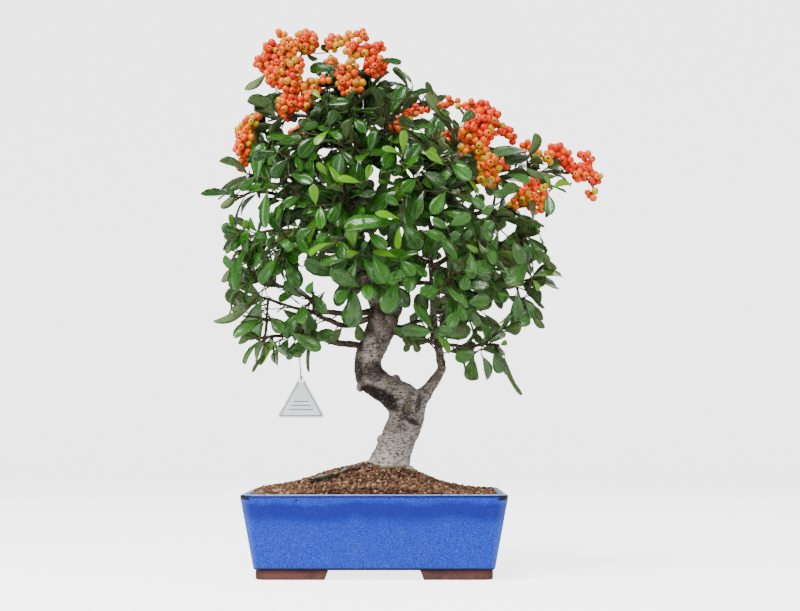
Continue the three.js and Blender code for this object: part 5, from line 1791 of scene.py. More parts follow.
        # Painted shade: the bare root is darker where it faces sideways and down
        stain = np.where(on_root, np.clip(2.3 - 2.1 * normal[:, 2], 0.15, 1), stain)
        greyed = np.maximum(below(z, 160, 50), 0.32 * below(z, 200, 14))
        bleach_and_highlight = greyed * np.clip(0.75 + 0.5 * fine, 0, 1)
        # Painted highlight: the bare root is paler where it faces up
        bleach_and_highlight = np.where(on_root, np.clip(3 * normal[:, 2] - 2.1, 0, 0.7), bleach_and_highlight * 0.85)
        # The sheen: a painted highlight, laid on as bleached bark
        middle_x, middle_z, half_width, half_height = self.sheen
        off_sheen = np.hypot((places[:, 0] - middle_x) / half_width, (places[:, 1] - middle_z) / half_height)
        bleach_and_highlight = np.maximum(bleach_and_highlight, np.clip(1.1 - off_sheen, 0, 0.38) * in_front)
        mesh.vertices.foreach_set("co", (place + normal * (relief * MM)[:, None]).astype(np.float32).ravel())
        bare = np.where(front, np.clip(0.8 - reach, 0, 1), 0)
        moss = np.clip(below(z, 110, 12) * (0.4 + 0.9 * broad), 0, 0.8)
        mark(mesh, "tint", moss)
        mark(mesh, "age", np.clip(bare * 3.2, 0, 0.8))
        mark(mesh, "stain", np.clip(stain, 0, 1))
        mark(mesh, "bleach_and_highlight", bleach_and_highlight)
        mesh.polygons.foreach_set("use_smooth", np.full(len(mesh.polygons), True))
        mesh.update()

    def limbs(self) -> Skin:
        """The limbs: tubes that swell a little at their joints, one for each row of the table.

        Returns:
            The skin of the piece.
        """
        skin = Skin()
        for number, (first, last, *rows) in enumerate(LIMBS.values()):
            steps = 16 * (len(rows) - 1)
            share = np.linspace(0, 1, steps)
            knobs = 1 + self.limb_swell * np.abs(np.sin(share * len(rows) * 7 + number)) ** 6
            radii = (first + (last - first) * share) * knobs
            points = Smooth(seen(rows)).at(share)
            points[:, 2] += self.limb_sway * np.sin(share * 19 + number)
            level = abs(points[-1, 2] - points[0, 2]) < 40
            way = (0.2, 0.3, 1) if level else (1, 0.4, 0.1)
            skin.add(**tube(points, radii, 9, way), tint=0.0, age=0.0)
        return skin

    def dress(self, finishes: Finishes) -> None:
        """Builds the tree's pieces.

        Args:
            finishes: The materials.
        """
        trunk = self.body().piece("trunk_and_stems", [finishes.trunk])
        self.grown(trunk)
        self.weather(trunk)
        trunk.data.materials.clear()
        trunk.data.materials.append(finishes.trunk)
        dress(trunk, "bark", "tree")
        dress(self.limbs().piece("limbs", [finishes.limb]), "bark", "tree")


@dataclass
class Leaves:
    """Many leaves: where each starts, how it points and faces, and its size, bend and colours."""

    root: Array
    ahead: Array
    face: Array
    length: Array
    curl: Array
    width: Array
    tint: Array
    age: Array

    def kept(self, which: Array) -> "Leaves":
        """Only those leaves that a mask names."""
        return Leaves(*(getattr(self, part.name)[which] for part in fields(self)))

    def tips(self) -> Array:
        """The far end of each leaf: along an arc that bends down from its face.

        Returns:
            A point for each leaf.
        """
        run = (self.length * np.sin(self.curl) / self.curl)[:, None]
        fall = (self.length * (1 - np.cos(self.curl)) / self.curl)[:, None]
        return self.root + self.ahead * run - self.face * fall


class Side(Enum):
    """Which side of a listed leaf is seen from the front, or that it is a young one."""

    TOP = "top"
    UNDER = "under"
    YOUNG = "young"


@dataclass(frozen=True)
class Crown:
    """The rule by which leaves lie: they lean out from their twig and from the crown's middle."""

    middle: Array = field(default_factory=lambda: seen([[10, 350, 0]])[0])
    reach: Array = field(default_factory=lambda: np.array([180.0, 130.0, 170.0]))
    lean: float = 0.35
    face_up: float = 0.6
    face_out: float = 0.9

    def front(self, places: Array) -> Array:
        """The depth of the crown's front at places seen there: a flattened ball, less at its edge."""
        off = (places - flat(self.middle)) / self.reach[[0, 2]]
        return -8 - 100 * np.sqrt(np.clip(1 - (off**2).sum(axis=-1), 0, 1))

    def pose(
        self, heart: Array, along: Array, turn: Any, spread: Any, draws: Any, lean: float
    ) -> tuple[Array, Array]:
        """How leaves lie that start at those places on twigs of those directions.

        Each leaf leaves its twig at an angle, the spread, on the side that the turn gives, and is
        drawn out from the crown's middle. Its face looks up and out, square to its length.

        Args:
            heart: Where each leaf's twig is.
            along: The twig's direction there.
            turn: The angle round the twig.
            spread: The angle from the twig.
            draws: A function that draws numbers between 0 and 1 by their kind.
            lean: How far it is drawn out.

        Returns:
            The directions ahead and of the face.
        """
        level = unit(joined(along[:, 1], -along[:, 0], 0.0))
        upright = np.cross(level, along)
        outward = unit((heart - self.middle) / self.reach)
        ahead = unit(
            along * np.cos(spread)[:, None]
            + level * (np.sin(spread) * np.cos(turn))[:, None]
            + upright * (np.sin(spread) * np.sin(turn))[:, None]
            + outward * lean
        )
        face = joined(draws(3) - 0.5, draws(4) - 0.5, self.face_up)
        face = face + outward * self.face_out
        face = unit(face - ahead * (face * ahead).sum(axis=-1, keepdims=True))
        return ahead, face


@dataclass
class LeafShape:
    """One leaf's blade: a thin closed shell, widest past its middle, folded a little at the midrib."""

    stations: Row = (0.0, 0.1, 0.25, 0.45, 0.66, 0.85, 0.96, 1.0)
    across: Row = (-1.0, -0.5, 0.0, 0.5, 1.0, 0.5, 0.0, -0.5)
    under: Row = (0.0, 0.0, 0.0, 0.0, 0.0, 0.32, 0.75, 0.32)
    stalk: float = 0.05
    stalk_end: float = 0.09
    root_power: float = 0.8
    tip_power: float = 2.6
    tip_round: float = 0.6
    widest: float = 0.56
    fold: float = 0.2
    wave: float = 0.022

    def build(self, skin: Skin, leaves: Leaves) -> None:
        """Adds the blades.

        A point lies at its share along the leaf's arc, half a width times a share across it. The
        half width is a power of the share past the stalk, times one less a higher power of it. The
        edges are lifted by the fold and by a slow wave, and the under side lies a thickness below.

        Args:
            skin: The piece that they are added to.
            leaves: The leaves.
        """
        if not len(leaves.length):
            return
        share = np.array(self.stations)[None, :, None]
        across = np.array(self.across)[None, None, :]
        under = np.array(self.under)[None, None, :]
        length = leaves.length[:, None, None]
        curl = leaves.curl[:, None, None]
        draw = leaves.tint[:, None, None]
        past = np.clip((share - self.stalk_end) / (1 - self.stalk_end), 0, 1)
        shape = past**self.root_power * (1 - past**self.tip_power) ** self.tip_round / self.widest
        half = np.maximum(shape * leaves.width[:, None, None], self.stalk * (1 - 0.9 * past)) * length / 2
        lift = half * (self.fold + 0.25 * (draw - 0.5)) * np.abs(across) ** 1.3
        lift = lift + length * self.wave * past * np.sin(9 * share + 20 * draw + across) * across**2
        lift = lift - under * np.clip(half / 2.0, 0.3, 1.0)
        twist = 0.5 * (draw - 0.5) * share
        side_run, side_lift = half * across * np.cos(twist), half * across * np.sin(twist)
        sine, cosine = np.sin(curl * share), np.cos(curl * share)
        lifted = lift + side_lift
        run = length * sine / curl + lifted * sine
        fall = lifted * cosine - length * (1 - cosine) / curl
        side = np.cross(leaves.face, leaves.ahead)
        points = (
            leaves.root[:, None, None] + run[..., None] * leaves.ahead[:, None, None]
            + fall[..., None] * leaves.face[:, None, None]
            + np.broadcast_to(side_run, run.shape)[..., None] * side[:, None, None]
        )
        rows, columns = len(self.stations), len(self.across)
        kinds = np.tile(np.where(np.arange(columns) < columns // 2, 0, 1), rows - 1)
        size, copies = rows * columns, len(leaves.length)
        faces = [repeated(part, copies, size) for part in shell(rows, columns, turned=True)]
        places = np.broadcast_to(joined(across / 2 + 0.5, share), (copies, rows, columns, 2))
        skin.add(
            points, faces, np.tile(kinds, copies), places,
            tint=np.repeat(leaves.tint, size), age=np.repeat(leaves.age, size),
        )


@dataclass
class Foliage:
    """All the leaves. Those of the CAD sprays keep their poses, and more fill in between them."""

    crown: Crown = field(default_factory=Crown)
    shape: LeafShape = field(default_factory=LeafShape)
    fine_shape: LeafShape = field(default_factory=lambda: LeafShape(
        stations=(0.0, 0.06, 0.13, 0.22, 0.33, 0.45, 0.57, 0.69, 0.8, 0.89, 0.95, 0.985, 1.0)))
    length: float = 34
    vary: float = 8
    short: float = 0.75
    root: float = 0.25
    reach: float = 0.72
    spread: float = 0.95
    end_spread: float = 0.35
    spread_draw: float = 0.5
    curl: float = 0.25
    curl_draw: float = 0.55
    turn_spray: float = 1.7
    turn_attempt: float = 0.9
    turn_draw: float = 0.8
    attempts: int = 14
    bow: float = 0.1
    fork: float = 0.4
    near: float = 0.08
    width: float = 0.45
    berry_room: float = 9
    placed_room: float = 3.5
    shoot_reach: float = 5
    shoot_vary: float = 9
    shoot_spread: float = 0.9
    shoot_lean: float = 0.5
    rosette: int = 4
    young_from: float = 0.93
    airy_below: float = 300
    turned_depth: float = 0.3
    # Keys of the draws: no two sets of leaves share one
    shoot_key: int = 60
    leaf_key: int = 70
    ends_key: int = 150
    twigs_key: int = 200
    limbs_key: int = 500
    edge: Array = field(default_factory=lambda: np.array(CROWN_EDGE))
    gaps: Array = field(default_factory=lambda: np.array(CROWN_GAPS))

    def twigs(self, limb: str, share: float, tips: Table) -> list[Bow]:
        """A spray's twigs: the first from its limb, and any other from a share along the first.

        Args:
            limb: The limb's name.
            share: Where along it the spray stands.
            tips: The twigs' tips.

        Returns:
            A path for each tip.
        """
        ends = seen(tips)
        first = self.twig(STEMS[limb].at(share)[0], ends[0])
        return [first, *(self.twig(first.at(self.fork)[0], end) for end in ends[1:])]

    def twig(self, start: Array, tip: Array) -> Bow:
        """A twig whose middle is raised by a share of its length."""
        rise = np.array([0, 0, self.bow * np.linalg.norm(tip - start)])
        return Bow(np.stack([start, (start + tip) / 2 + rise, tip]))

    def stated(self, index: int, twigs: list[Bow], count: int) -> tuple[Leaves, Leaves]:
        """The CAD leaves of a spray, found again by the same draws.

        Each leaf has a list of attempts, each with its own pose, and the CAD solid holds the first
        that was clear. The one whose tip is a corner of the node is that one. The solids have hardly
        any leaf at a twig's very end, so those ends are given one.

        Args:
            index: The spray's number, from 0.
            twigs: Its twigs.
            count: How many leaves it was given.

        Returns:
            The leaves that the solid has, and one for each twig's bare end.
        """
        number = np.repeat(np.arange(count), self.attempts).astype(float)
        attempt = np.tile(np.arange(self.attempts), count).astype(float)
        which = number.astype(int) % len(twigs)
        order = np.floor(number / len(twigs))
        each = math.ceil(count / len(twigs))
        share = 1 - self.reach * (order / each)
        hearts = np.stack([twig.at(share) for twig in twigs])[which, np.arange(len(number))]
        alongs = np.stack([twig.tangent(share) for twig in twigs])[which, np.arange(len(number))]

        def draws(kind: int) -> Array:
            """The CAD leaves' draw of that kind."""
            return chance(index + 1, number, attempt, kind)

        turn = order * GOLDEN_ANGLE + index * self.turn_spray + attempt * self.turn_attempt
        turn = turn + (draws(1) - 0.5) * self.turn_draw
        spread = np.where(order == 0, self.end_spread, self.spread + (draws(2) - 0.5) * self.spread_draw)
        ahead, face = self.crown.pose(hearts, alongs, turn, spread, draws, self.crown.lean)
        size = np.where(attempt < self.attempts / 2, 1.0, self.short)
        length = (self.length + self.vary * (2 * draws(5) - 1)) * size
        root = hearts + self.root * (ahead + face)
        tint = chance(index + 1, number, 50, 7)
        age = np.where((order == 0) & (chance(index + 1, number, 51, 7) > 0.72), 0.75, 0.0)
        curl, width = self.curl + self.curl_draw * draws(6), self.width + 0.06 * (tint - 0.5)
        leaves = Leaves(root, ahead, face, length, curl, width, tint, age)
        corners = self.corners(f"leafy_spray_{index + 1:02d}")
        gap = np.linalg.norm(leaves.tips()[:, None] - corners[None], axis=-1).min(axis=1)
        found = (gap < self.near).reshape(count, self.attempts)
        first = found & (np.cumsum(found, axis=1) == 1)
        bare = ((order == 0) & (attempt == 0)).reshape(count, self.attempts) & ~found.any(axis=1)[:, None]
        return leaves.kept(first.ravel()), leaves.kept(bare.ravel())

    @staticmethod
    def corners(node: str) -> Array:
        """The corners of a CAD node in millimetres from the pot's middle."""
        return from_row(read(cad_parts[node].data.vertices, "co"))

    @staticmethod
    def shoot(skin: Skin, points: Array, radii: Array) -> None:
        """Adds a thin shoot along points, in the twigs' finish."""
        skin.add(**tube(points, radii, 5, aside(points[0], points[-1])), finish=2, tint=0.1, age=0.0)

    def filled(self, key: int, path: Smooth, shares: Array, skin: Skin, size: float) -> Leaves:
        """Short shoots with a rosette of leaves each, along a twig or a limb.

        Args:
            key: A number that no other path has.
            path: The twig or limb.
            shares: Where along it the shoots grow.
            skin: The piece that the shoots are added to.
            size: The leaves' size as a share of the full one.

        Returns:
            The rosettes' leaves.
        """
        shoots = np.arange(len(shares)).astype(float)
        start, along = path.at(shares), path.tangent(shares)
        spread = np.full(len(shares), self.shoot_spread)

        def shoot_draws(kind: int) -> Array:
            """The shoots' draw of that kind."""
            return chance(key, shoots, self.shoot_key, kind)

        turn = shoots * GOLDEN_ANGLE + key * 0.7
        way, _ = self.crown.pose(start, along, turn, spread, shoot_draws, self.shoot_lean)
        reach = self.shoot_reach + self.shoot_vary * shoot_draws(1)
        ends = start + way * reach[:, None]
        for first, last in zip(start, ends):
            points = first + (last - first) * np.linspace(0, 1, 4)[:, None]
            self.shoot(skin, points, np.array([1.1, 0.9, 0.8, 0.6]))
        each = self.rosette
        number = np.tile(np.arange(each), len(shares)).astype(float)
        shoot = np.repeat(shoots, each)

        def draws(kind: int) -> Array:
            """The rosettes' draw of that kind."""
            return chance(key, shoot, number + self.leaf_key, kind)

        heart = np.repeat(ends, each, axis=0)
        spread = 0.45 + 0.75 * draws(2)
        along, turn = np.repeat(way, each, axis=0), number * GOLDEN_ANGLE + shoot
        ahead, face = self.crown.pose(heart, along, turn, spread, draws, self.crown.lean)
        length = (self.length + self.vary * (2 * draws(5) - 1)) * size * (0.74 + 0.36 * draws(8))
        young = (shoot_draws(9) > self.young_from)[shoot.astype(int)]
        age = np.where(young, 0.3 + 0.4 * draws(10), 0.0)
        width = self.width + 0.1 * (draws(12) - 0.5)
        return Leaves(heart, ahead, face, length, self.curl + self.curl_draw * draws(6), width, draws(7), age)

    def trimmed(self, leaves: Leaves, key: int) -> Leaves:
        """Only the filling leaves that fit the crown as it is seen from the front.

        They stay in the object's box, inside the crown's outline and out of its gaps. They hide none
        of the listed leaves and no berries, and are thinned out in the airy lower parts.

        Args:
            leaves: The leaves.
            key: A number that no other call has.

        Returns:
            Those that stay.
        """
        low, high = (np.array(corner, dtype=float) for corner in CAD_BOX)
        tips = leaves.tips()
        at = to_row(tips)
        stay = ((at > low + 0.001) & (at < high - 0.001)).all(axis=1)
        points = leaves.root[:, None] + (tips - leaves.root)[:, None] * np.array([0.35, 0.7, 1.0])[:, None]
        places = flat(points)
        stay &= within(places[:, 1:], self.edge).all(axis=1)
        off = (places[:, :, None] - self.gaps[:, :2]) / self.gaps[:, 2:]
        stay &= ((off**2).sum(axis=-1) > 1).all(axis=(1, 2))
        start, end, depth, half = self.placed_axes
        run = end - start
        share = ((places[:, :, None] - start) * run).sum(axis=-1) / (run**2).sum(axis=-1)
        foot = start + np.clip(share, 0, 1)[..., None] * run
        gap = np.linalg.norm(places[:, :, None] - foot, axis=-1)
        hides = (gap < half + self.placed_room) & (points[..., 1][:, :, None] < depth + 10)
        stay &= ~hides.any(axis=(1, 2))
        lobes = np.array([row for rows in LOBES.values() for row in rows])
        gap = np.linalg.norm(places[:, :, None] - lobes[:, :2], axis=-1)
        hides = (gap < lobes[:, 3] + self.berry_room) & (points[..., 1][:, :, None] < lobes[:, 2] + 12)
        stay &= ~hides.any(axis=(1, 2))
        x, z = places[:, 1].T
        dense = np.where(z > self.airy_below, 1.0, np.where(x < 0, 0.2, 0.5))
        dense = dense * np.where((x < -95) & (z < 410), 0.5, 1.0)
        return leaves.kept(stay & (chance(key, np.arange(len(x)), 61, 3) < dense))

    @property
    def placed_axes(self) -> tuple[Array, Array, Array, Array]:
        """The ends, depth and half width of the listed leaves, as seen from the front.

        Returns:
            The roots, the tips, the depths and the half widths.
        """
        rows = np.array(TOP_LEAVES + YOUNG_LEAVES, dtype=float)
        depth = self.crown.front((rows[:, :2] + rows[:, 2:4]) / 2)
        return rows[:, :2], rows[:, 2:4], depth, rows[:, 4] / 2

    def placed(self, table: Table, side: Side, key: int) -> Leaves:
        """Listed leaves, each drawn between two places seen from the front.

        The upper sides lie on the crown's front, the turned leaves behind it. A leaf's arc starts and
        ends where it is stated. The face looks at the eye, turned about the leaf's length until the
        blade, with its usual width, shows the stated one.

        Args:
            table: Rows of the root's x and z, the tip's x and z, and the width seen.
            side: Which side is seen.
            key: A number that no other table has.

        Returns:
            The leaves.
        """
        rows = np.array(table, dtype=float)
        number = np.arange(len(rows))

        def draws(kind: int) -> Array:
            """The placed leaves' draw of that kind."""
            return chance(key, number, kind, 41)

        deep = self.turned_depth if side is Side.UNDER else 1.0
        depth_root = self.crown.front(rows[:, :2]) * deep + 6 * draws(1)
        depth_tip = self.crown.front(rows[:, 2:4]) * deep - 8 * draws(2)
        root = seen(np.column_stack([rows[:, :2], depth_root]))
        tip = seen(np.column_stack([rows[:, 2:4], depth_tip]))
        chord = tip - root
        reach = np.linalg.norm(chord, axis=-1)
        chord = unit(chord)
        sight = unit(EYE - root)
        toward = unit(sight - chord * (sight * chord).sum(axis=-1, keepdims=True))
        beside = np.cross(chord, toward)
        beside = beside * np.where(beside[:, 2:] < 0, -1, 1)
        real = np.maximum(rows[:, 4], 0.4 * reach)
        turned = np.arccos(np.clip(rows[:, 4] / real, 0.1, 1)) * 0.85
        face = toward * np.cos(turned)[:, None] + beside * np.sin(turned)[:, None]
        face = -face if side is Side.UNDER else face
        curl = 0.25 + 0.35 * draws(3)
        ahead = chord * np.cos(curl / 2)[:, None] + face * np.sin(curl / 2)[:, None]
        across = face * np.cos(curl / 2)[:, None] - chord * np.sin(curl / 2)[:, None]
        length = reach * (curl / 2) / np.sin(curl / 2)
        tint = draws(4)
        age = 0.5 + 0.4 * draws(5) if side is Side.YOUNG else np.zeros(len(rows))
        return Leaves(root, ahead, across, length, curl, real / length, tint, age)

    def shoots(self, skin: Skin, roots: Array) -> None:
        """Joins the listed leaves to the tree: each has a shoot from the nearest wood.

        Args:
            skin: The piece that the shoots are added to.
            roots: Where the leaves start.
        """
        share = np.linspace(0.25, 1, 24)
        wood = [path.at(share) for name, path in STEMS.items() if name != "trunk"]
        for limb, start, tips, _ in SPRAYS:
            wood += [twig.at(np.linspace(0, 1, 12)) for twig in self.twigs(limb, start, tips)]
        wood = np.concatenate(wood)
        for root in roots[np.argsort(np.linalg.norm(roots[:, None] - wood, axis=-1).min(axis=1))]:
            gap = np.linalg.norm(wood - root, axis=-1)
            start = wood[np.argmin(gap + 0.5 * np.abs(wood[:, 2] - root[2]))]
            if np.linalg.norm(start - root) < 1.5:
                continue
            middle = (start + root) / 2 - [0, 0, 0.12 * np.linalg.norm(root - start)]
            points = Bow(np.stack([start, middle, root])).at(np.linspace(0, 1, 7))
            self.shoot(skin, points, np.linspace(0.8, 0.5, 7))
            wood = np.concatenate([wood, points[2:]])

    def front(self) -> Skin:
        """The listed leaves, finer than the others, and their shoots.

        Returns:
            The skin of the piece.
        """
        skin = Skin()
        tables = ((TOP_LEAVES, Side.TOP), (TURNED_LEAVES, Side.UNDER), (YOUNG_LEAVES, Side.YOUNG))
        roots = []
        for key, (table, side) in enumerate(tables):
            leaves = self.placed(table, side, key)
            self.fine_shape.build(skin, leaves)
            roots.append(leaves.root)
        self.shoots(skin, np.concatenate(roots))
        return skin

    def spray(self, index: int) -> Skin:
        """One spray: its twigs, its CAD leaves, and rosettes between them.

        Args:
            index: The spray's number, from 0.

        Returns:
            The skin of the piece.
        """
        limb, share, tips, count = SPRAYS[index]
        twigs = self.twigs(limb, share, tips)
        skin = Skin()
        steps = np.linspace(0, 1, 9)
        found, ends = self.stated(index, twigs, count)
        self.shape.build(skin, found)
        self.shape.build(skin, self.trimmed(ends, index + self.ends_key))
        for order, twig in enumerate(twigs):
            points = twig.at(steps)
            way = (0, 0, 1) if abs(points[-1, 2] - points[0, 2]) < 30 else (1, 0.3, 0)
            skin.add(**tube(points, 1.7 - 0.7 * steps, 6, way), finish=2, tint=0.1, age=0.0)
            key = index * 3 + order + self.twigs_key
            extra = self.filled(key, twig, np.array([0.25, 0.45, 0.65, 0.85]), skin, size=1.0)
            self.shape.build(skin, self.trimmed(extra, key))
        log.info("spray %d: %d of %d leaves found", index + 1, len(found.length), count)
        return skin

    def inner(self) -> Skin:
        """Rosettes along the limbs themselves and the two stems, inside the crown.

        Returns:
            The skin of the piece.
        """
        skin = Skin()
        for order, name in enumerate([*LIMBS, "mainStem", "secondStem"]):
            shares = np.linspace(0.3, 0.96, 9 if name in LIMBS else 22)
            key = order + self.limbs_key
            extra = self.filled(key, STEMS[name], shares, skin, size=0.95)
            self.shape.build(skin, self.trimmed(extra, key))
        return skin

    def dress(self, finishes: Finishes) -> None:
        """Builds every spray and the inner leaves.

        Args:
            finishes: The materials.
        """
        looks = [finishes.leaf_top, finishes.leaf_under, finishes.twig]
        for index in range(len(SPRAYS)):
            node = f"leafy_spray_{index + 1:02d}"
            dress(self.spray(index).piece(f"leaves_{index + 1:02d}", looks), "leaf", node)
        dress(self.inner().piece("leaves_inner", looks), "leaf")
        dress(self.front().piece("leaves_front", looks), "leaf")


@dataclass
class Berries:
    """The berry bunches: berries packed side by side in each lobe, with stalks to its middle."""

    radius: float = 3.9
    apart: float = 5.8
    swell: float = 1.12
    tries: int = 2200
    tilt: float = 0.35
    rings: int = 7
    sides: int = 9
    smallest: float = 0.84
    vary: float = 0.26
    flatness: float = 0.93
    dimple: float = 0.22
    green: float = 0.06
    back_ripeness: float = 0.6

    def lobes(self, index: int) -> Array:
        """The lobes' middles, radii and ripeness: the CAD's own, and the finer ones where stated.

        Args:
            index: The bunch's number, from 0.

        Returns:
            A row for each lobe.
        """
        rows = [[*row, self.back_ripeness] for row in BUNCHES[index][2]]
        rows = LOBES.get(index + 1, rows)
        sizes = np.array(rows, dtype=float)[:, 3:] * [self.swell, 1]
        return np.concatenate([seen(rows), sizes], axis=1)

    def places(self, lobes: Array, key: int) -> tuple[Array, Array]:
        """Middles of the berries and the lobe that each belongs to.

        Places are drawn in every lobe's ball, and taken from its skin inwards wherever no berry lies
        too near.

        Args:
            lobes: Middles, radii and ripeness.
            key: The bunch's number.

        Returns:
            The middles, and the lobes' numbers.
        """
        owner = np.repeat(np.arange(len(lobes)), self.tries)
        number = np.arange(len(owner))
        height = 2 * chance(key, owner, number, 31) - 1
        angle = 2 * math.pi * chance(key, owner, number, 32)
        wide = np.sqrt(1 - height**2)
        way = joined(wide * np.cos(angle), wide * np.sin(angle), height)
        depth = 1 - chance(key, owner, number, 33) ** 1.6
        drawn = lobes[owner, :3] + way * (lobes[owner, 3] * depth)[:, None]
        middles, owners = np.empty((0, 3)), []
        for place, lobe in zip(drawn[np.argsort(-depth)], owner[np.argsort(-depth)]):
            if not (np.linalg.norm(middles - place, axis=1) < self.apart).any():
                middles = np.vstack([middles, place])
                owners.append(lobe)
        return middles, np.array(owners)

    def bunch(self, index: int) -> Skin:
        """One bunch: its stem, a stalk from each lobe to the nearest that is joined, and its berries.

        Args:
            index: The bunch's number, from 0.

        Returns:
            The skin of the piece.
        """
        limb, share, rows = BUNCHES[index]
        lobes = self.lobes(index)
        middles, owners = self.places(lobes, index)
        skin = Skin()
        ends = np.vstack([STEMS[limb].at(share), seen(rows)])
        for first, last in zip(ends[:-1], ends[1:]):
            self.stalk(skin, first, last, 1.3, 0.9)
        reached = ends
        hearts = lobes[:, :3]
        while len(hearts):
            gaps = np.linalg.norm(hearts[:, None] - reached, axis=-1)
            lobe, nearest = np.unravel_index(gaps.argmin(), gaps.shape)
            self.stalk(skin, reached[nearest], hearts[lobe], 0.9, 0.6)
            reached = np.vstack([reached, hearts[lobe]])
            hearts = np.delete(hearts, lobe, axis=0)
        for middle, owner in zip(middles, owners):
            centre = lobes[owner, :3]
            low = centre + (middle - centre) * 0.1 - np.array([0, 0, 0.12 * lobes[owner, 3]])
            self.stalk(skin, low, middle, 0.5, 0.42)
        self.balls(skin, middles, lobes[owners], index)
        log.info("bunch %d: %d berries", index + 1, len(middles))
        return skin

    def stalk(self, skin: Skin, first: Array, last: Array, thick: float, thin: float) -> None:
        """A stalk that sags or rises a little between two places.

        Args:
            skin: The piece that it is added to.
            first: Where it starts.
            last: Where it ends.
            thick: Its radius at the start.
            thin: Its radius at the end.
        """
        share = np.linspace(0, 1, 4)
        points = first + (last - first) * share[:, None]
        points[:, 2] += 0.8 * np.sin(share * math.pi)
        skin.add(**tube(points, thick + (thin - thick) * share, 4, aside(first, last, (1, 0.2, 0))), finish=1)

    def balls(self, skin: Skin, middles: Array, lobes: Array, key: int) -> None:
        """The berries: flattened balls on a grid of angles, with a dimple at the eye.

        Args:
            skin: The piece that they are added to.
            middles: Their middles.
            lobes: Each one's lobe, whose middle it points away from, and whose ripeness it has.
            key: The bunch's number.
        """
        count = len(middles)
        number = np.arange(count)
        jitter = joined(*(chance(key, number, axis, 22) for axis in range(3))) - 0.5
        axis = unit(unit(middles - lobes[:, :3] + 0.01) + self.tilt * jitter)
        across = unit(np.cross(axis, unit(jitter + 0.01)))
        beside = np.cross(axis, across)
        polar = np.concatenate([[0.13, 0.36], np.linspace(0.72, math.pi - 0.2, self.rings - 2)])[:, None]
        turn = turns(self.sides)
        out = np.sin(polar) * (1 + 0.02 * np.cos(turn * 5))
        depth = np.cos(polar) * self.flatness - np.where(polar < 0.3, self.dimple, 0.0)
        size = (self.radius * (self.smallest + self.vary * chance(key, number, 1, 23)))[:, None, None, None]
        shape_x = (out * np.cos(turn))[None, ..., None] * across[:, None, None]
        shape_y = (out * np.sin(turn))[None, ..., None] * beside[:, None, None]
        shape_z = np.broadcast_to(depth, out.shape)[None, ..., None] * axis[:, None, None]
        points = middles[:, None, None] + size * (shape_x + shape_y + shape_z)
        rings = len(polar)
        total = rings * self.sides
        faces = [repeated(part, count, total) for part in shell(rings, self.sides, turned=True)]
        place = joined(turn / (2 * math.pi), polar / math.pi)
        ripe = lobes[:, 4] + 0.45 * (chance(key, number, 2, 24) - 0.5)
        late = chance(key, number, 3, 25) > 0.93 - 0.25 * (1 - lobes[:, 4])
        ripe = np.where(late, self.green, ripe)
        skin.add(
            points, faces, 0, np.broadcast_to(place, (count, rings, self.sides, 2)),
            age=np.repeat(np.clip(ripe, 0, 1), total), tint=np.repeat(chance(key, number, 4, 26), total),
        )

    def dress(self, finishes: Finishes) -> None:
        """Builds every bunch.

        Args:
            finishes: The materials.
        """
        slots = {3: "berry_yellow", 7: "berry_yellow", 8: "berry_red"}
        for index in range(len(BUNCHES)):
            name = f"berry_bunch_{index + 1:02d}"
            piece = self.bunch(index).piece(f"berries_{index + 1:02d}", [finishes.berry, finishes.stalk])
            dress(piece, slots.get(index + 1, "berry_orange"), name)


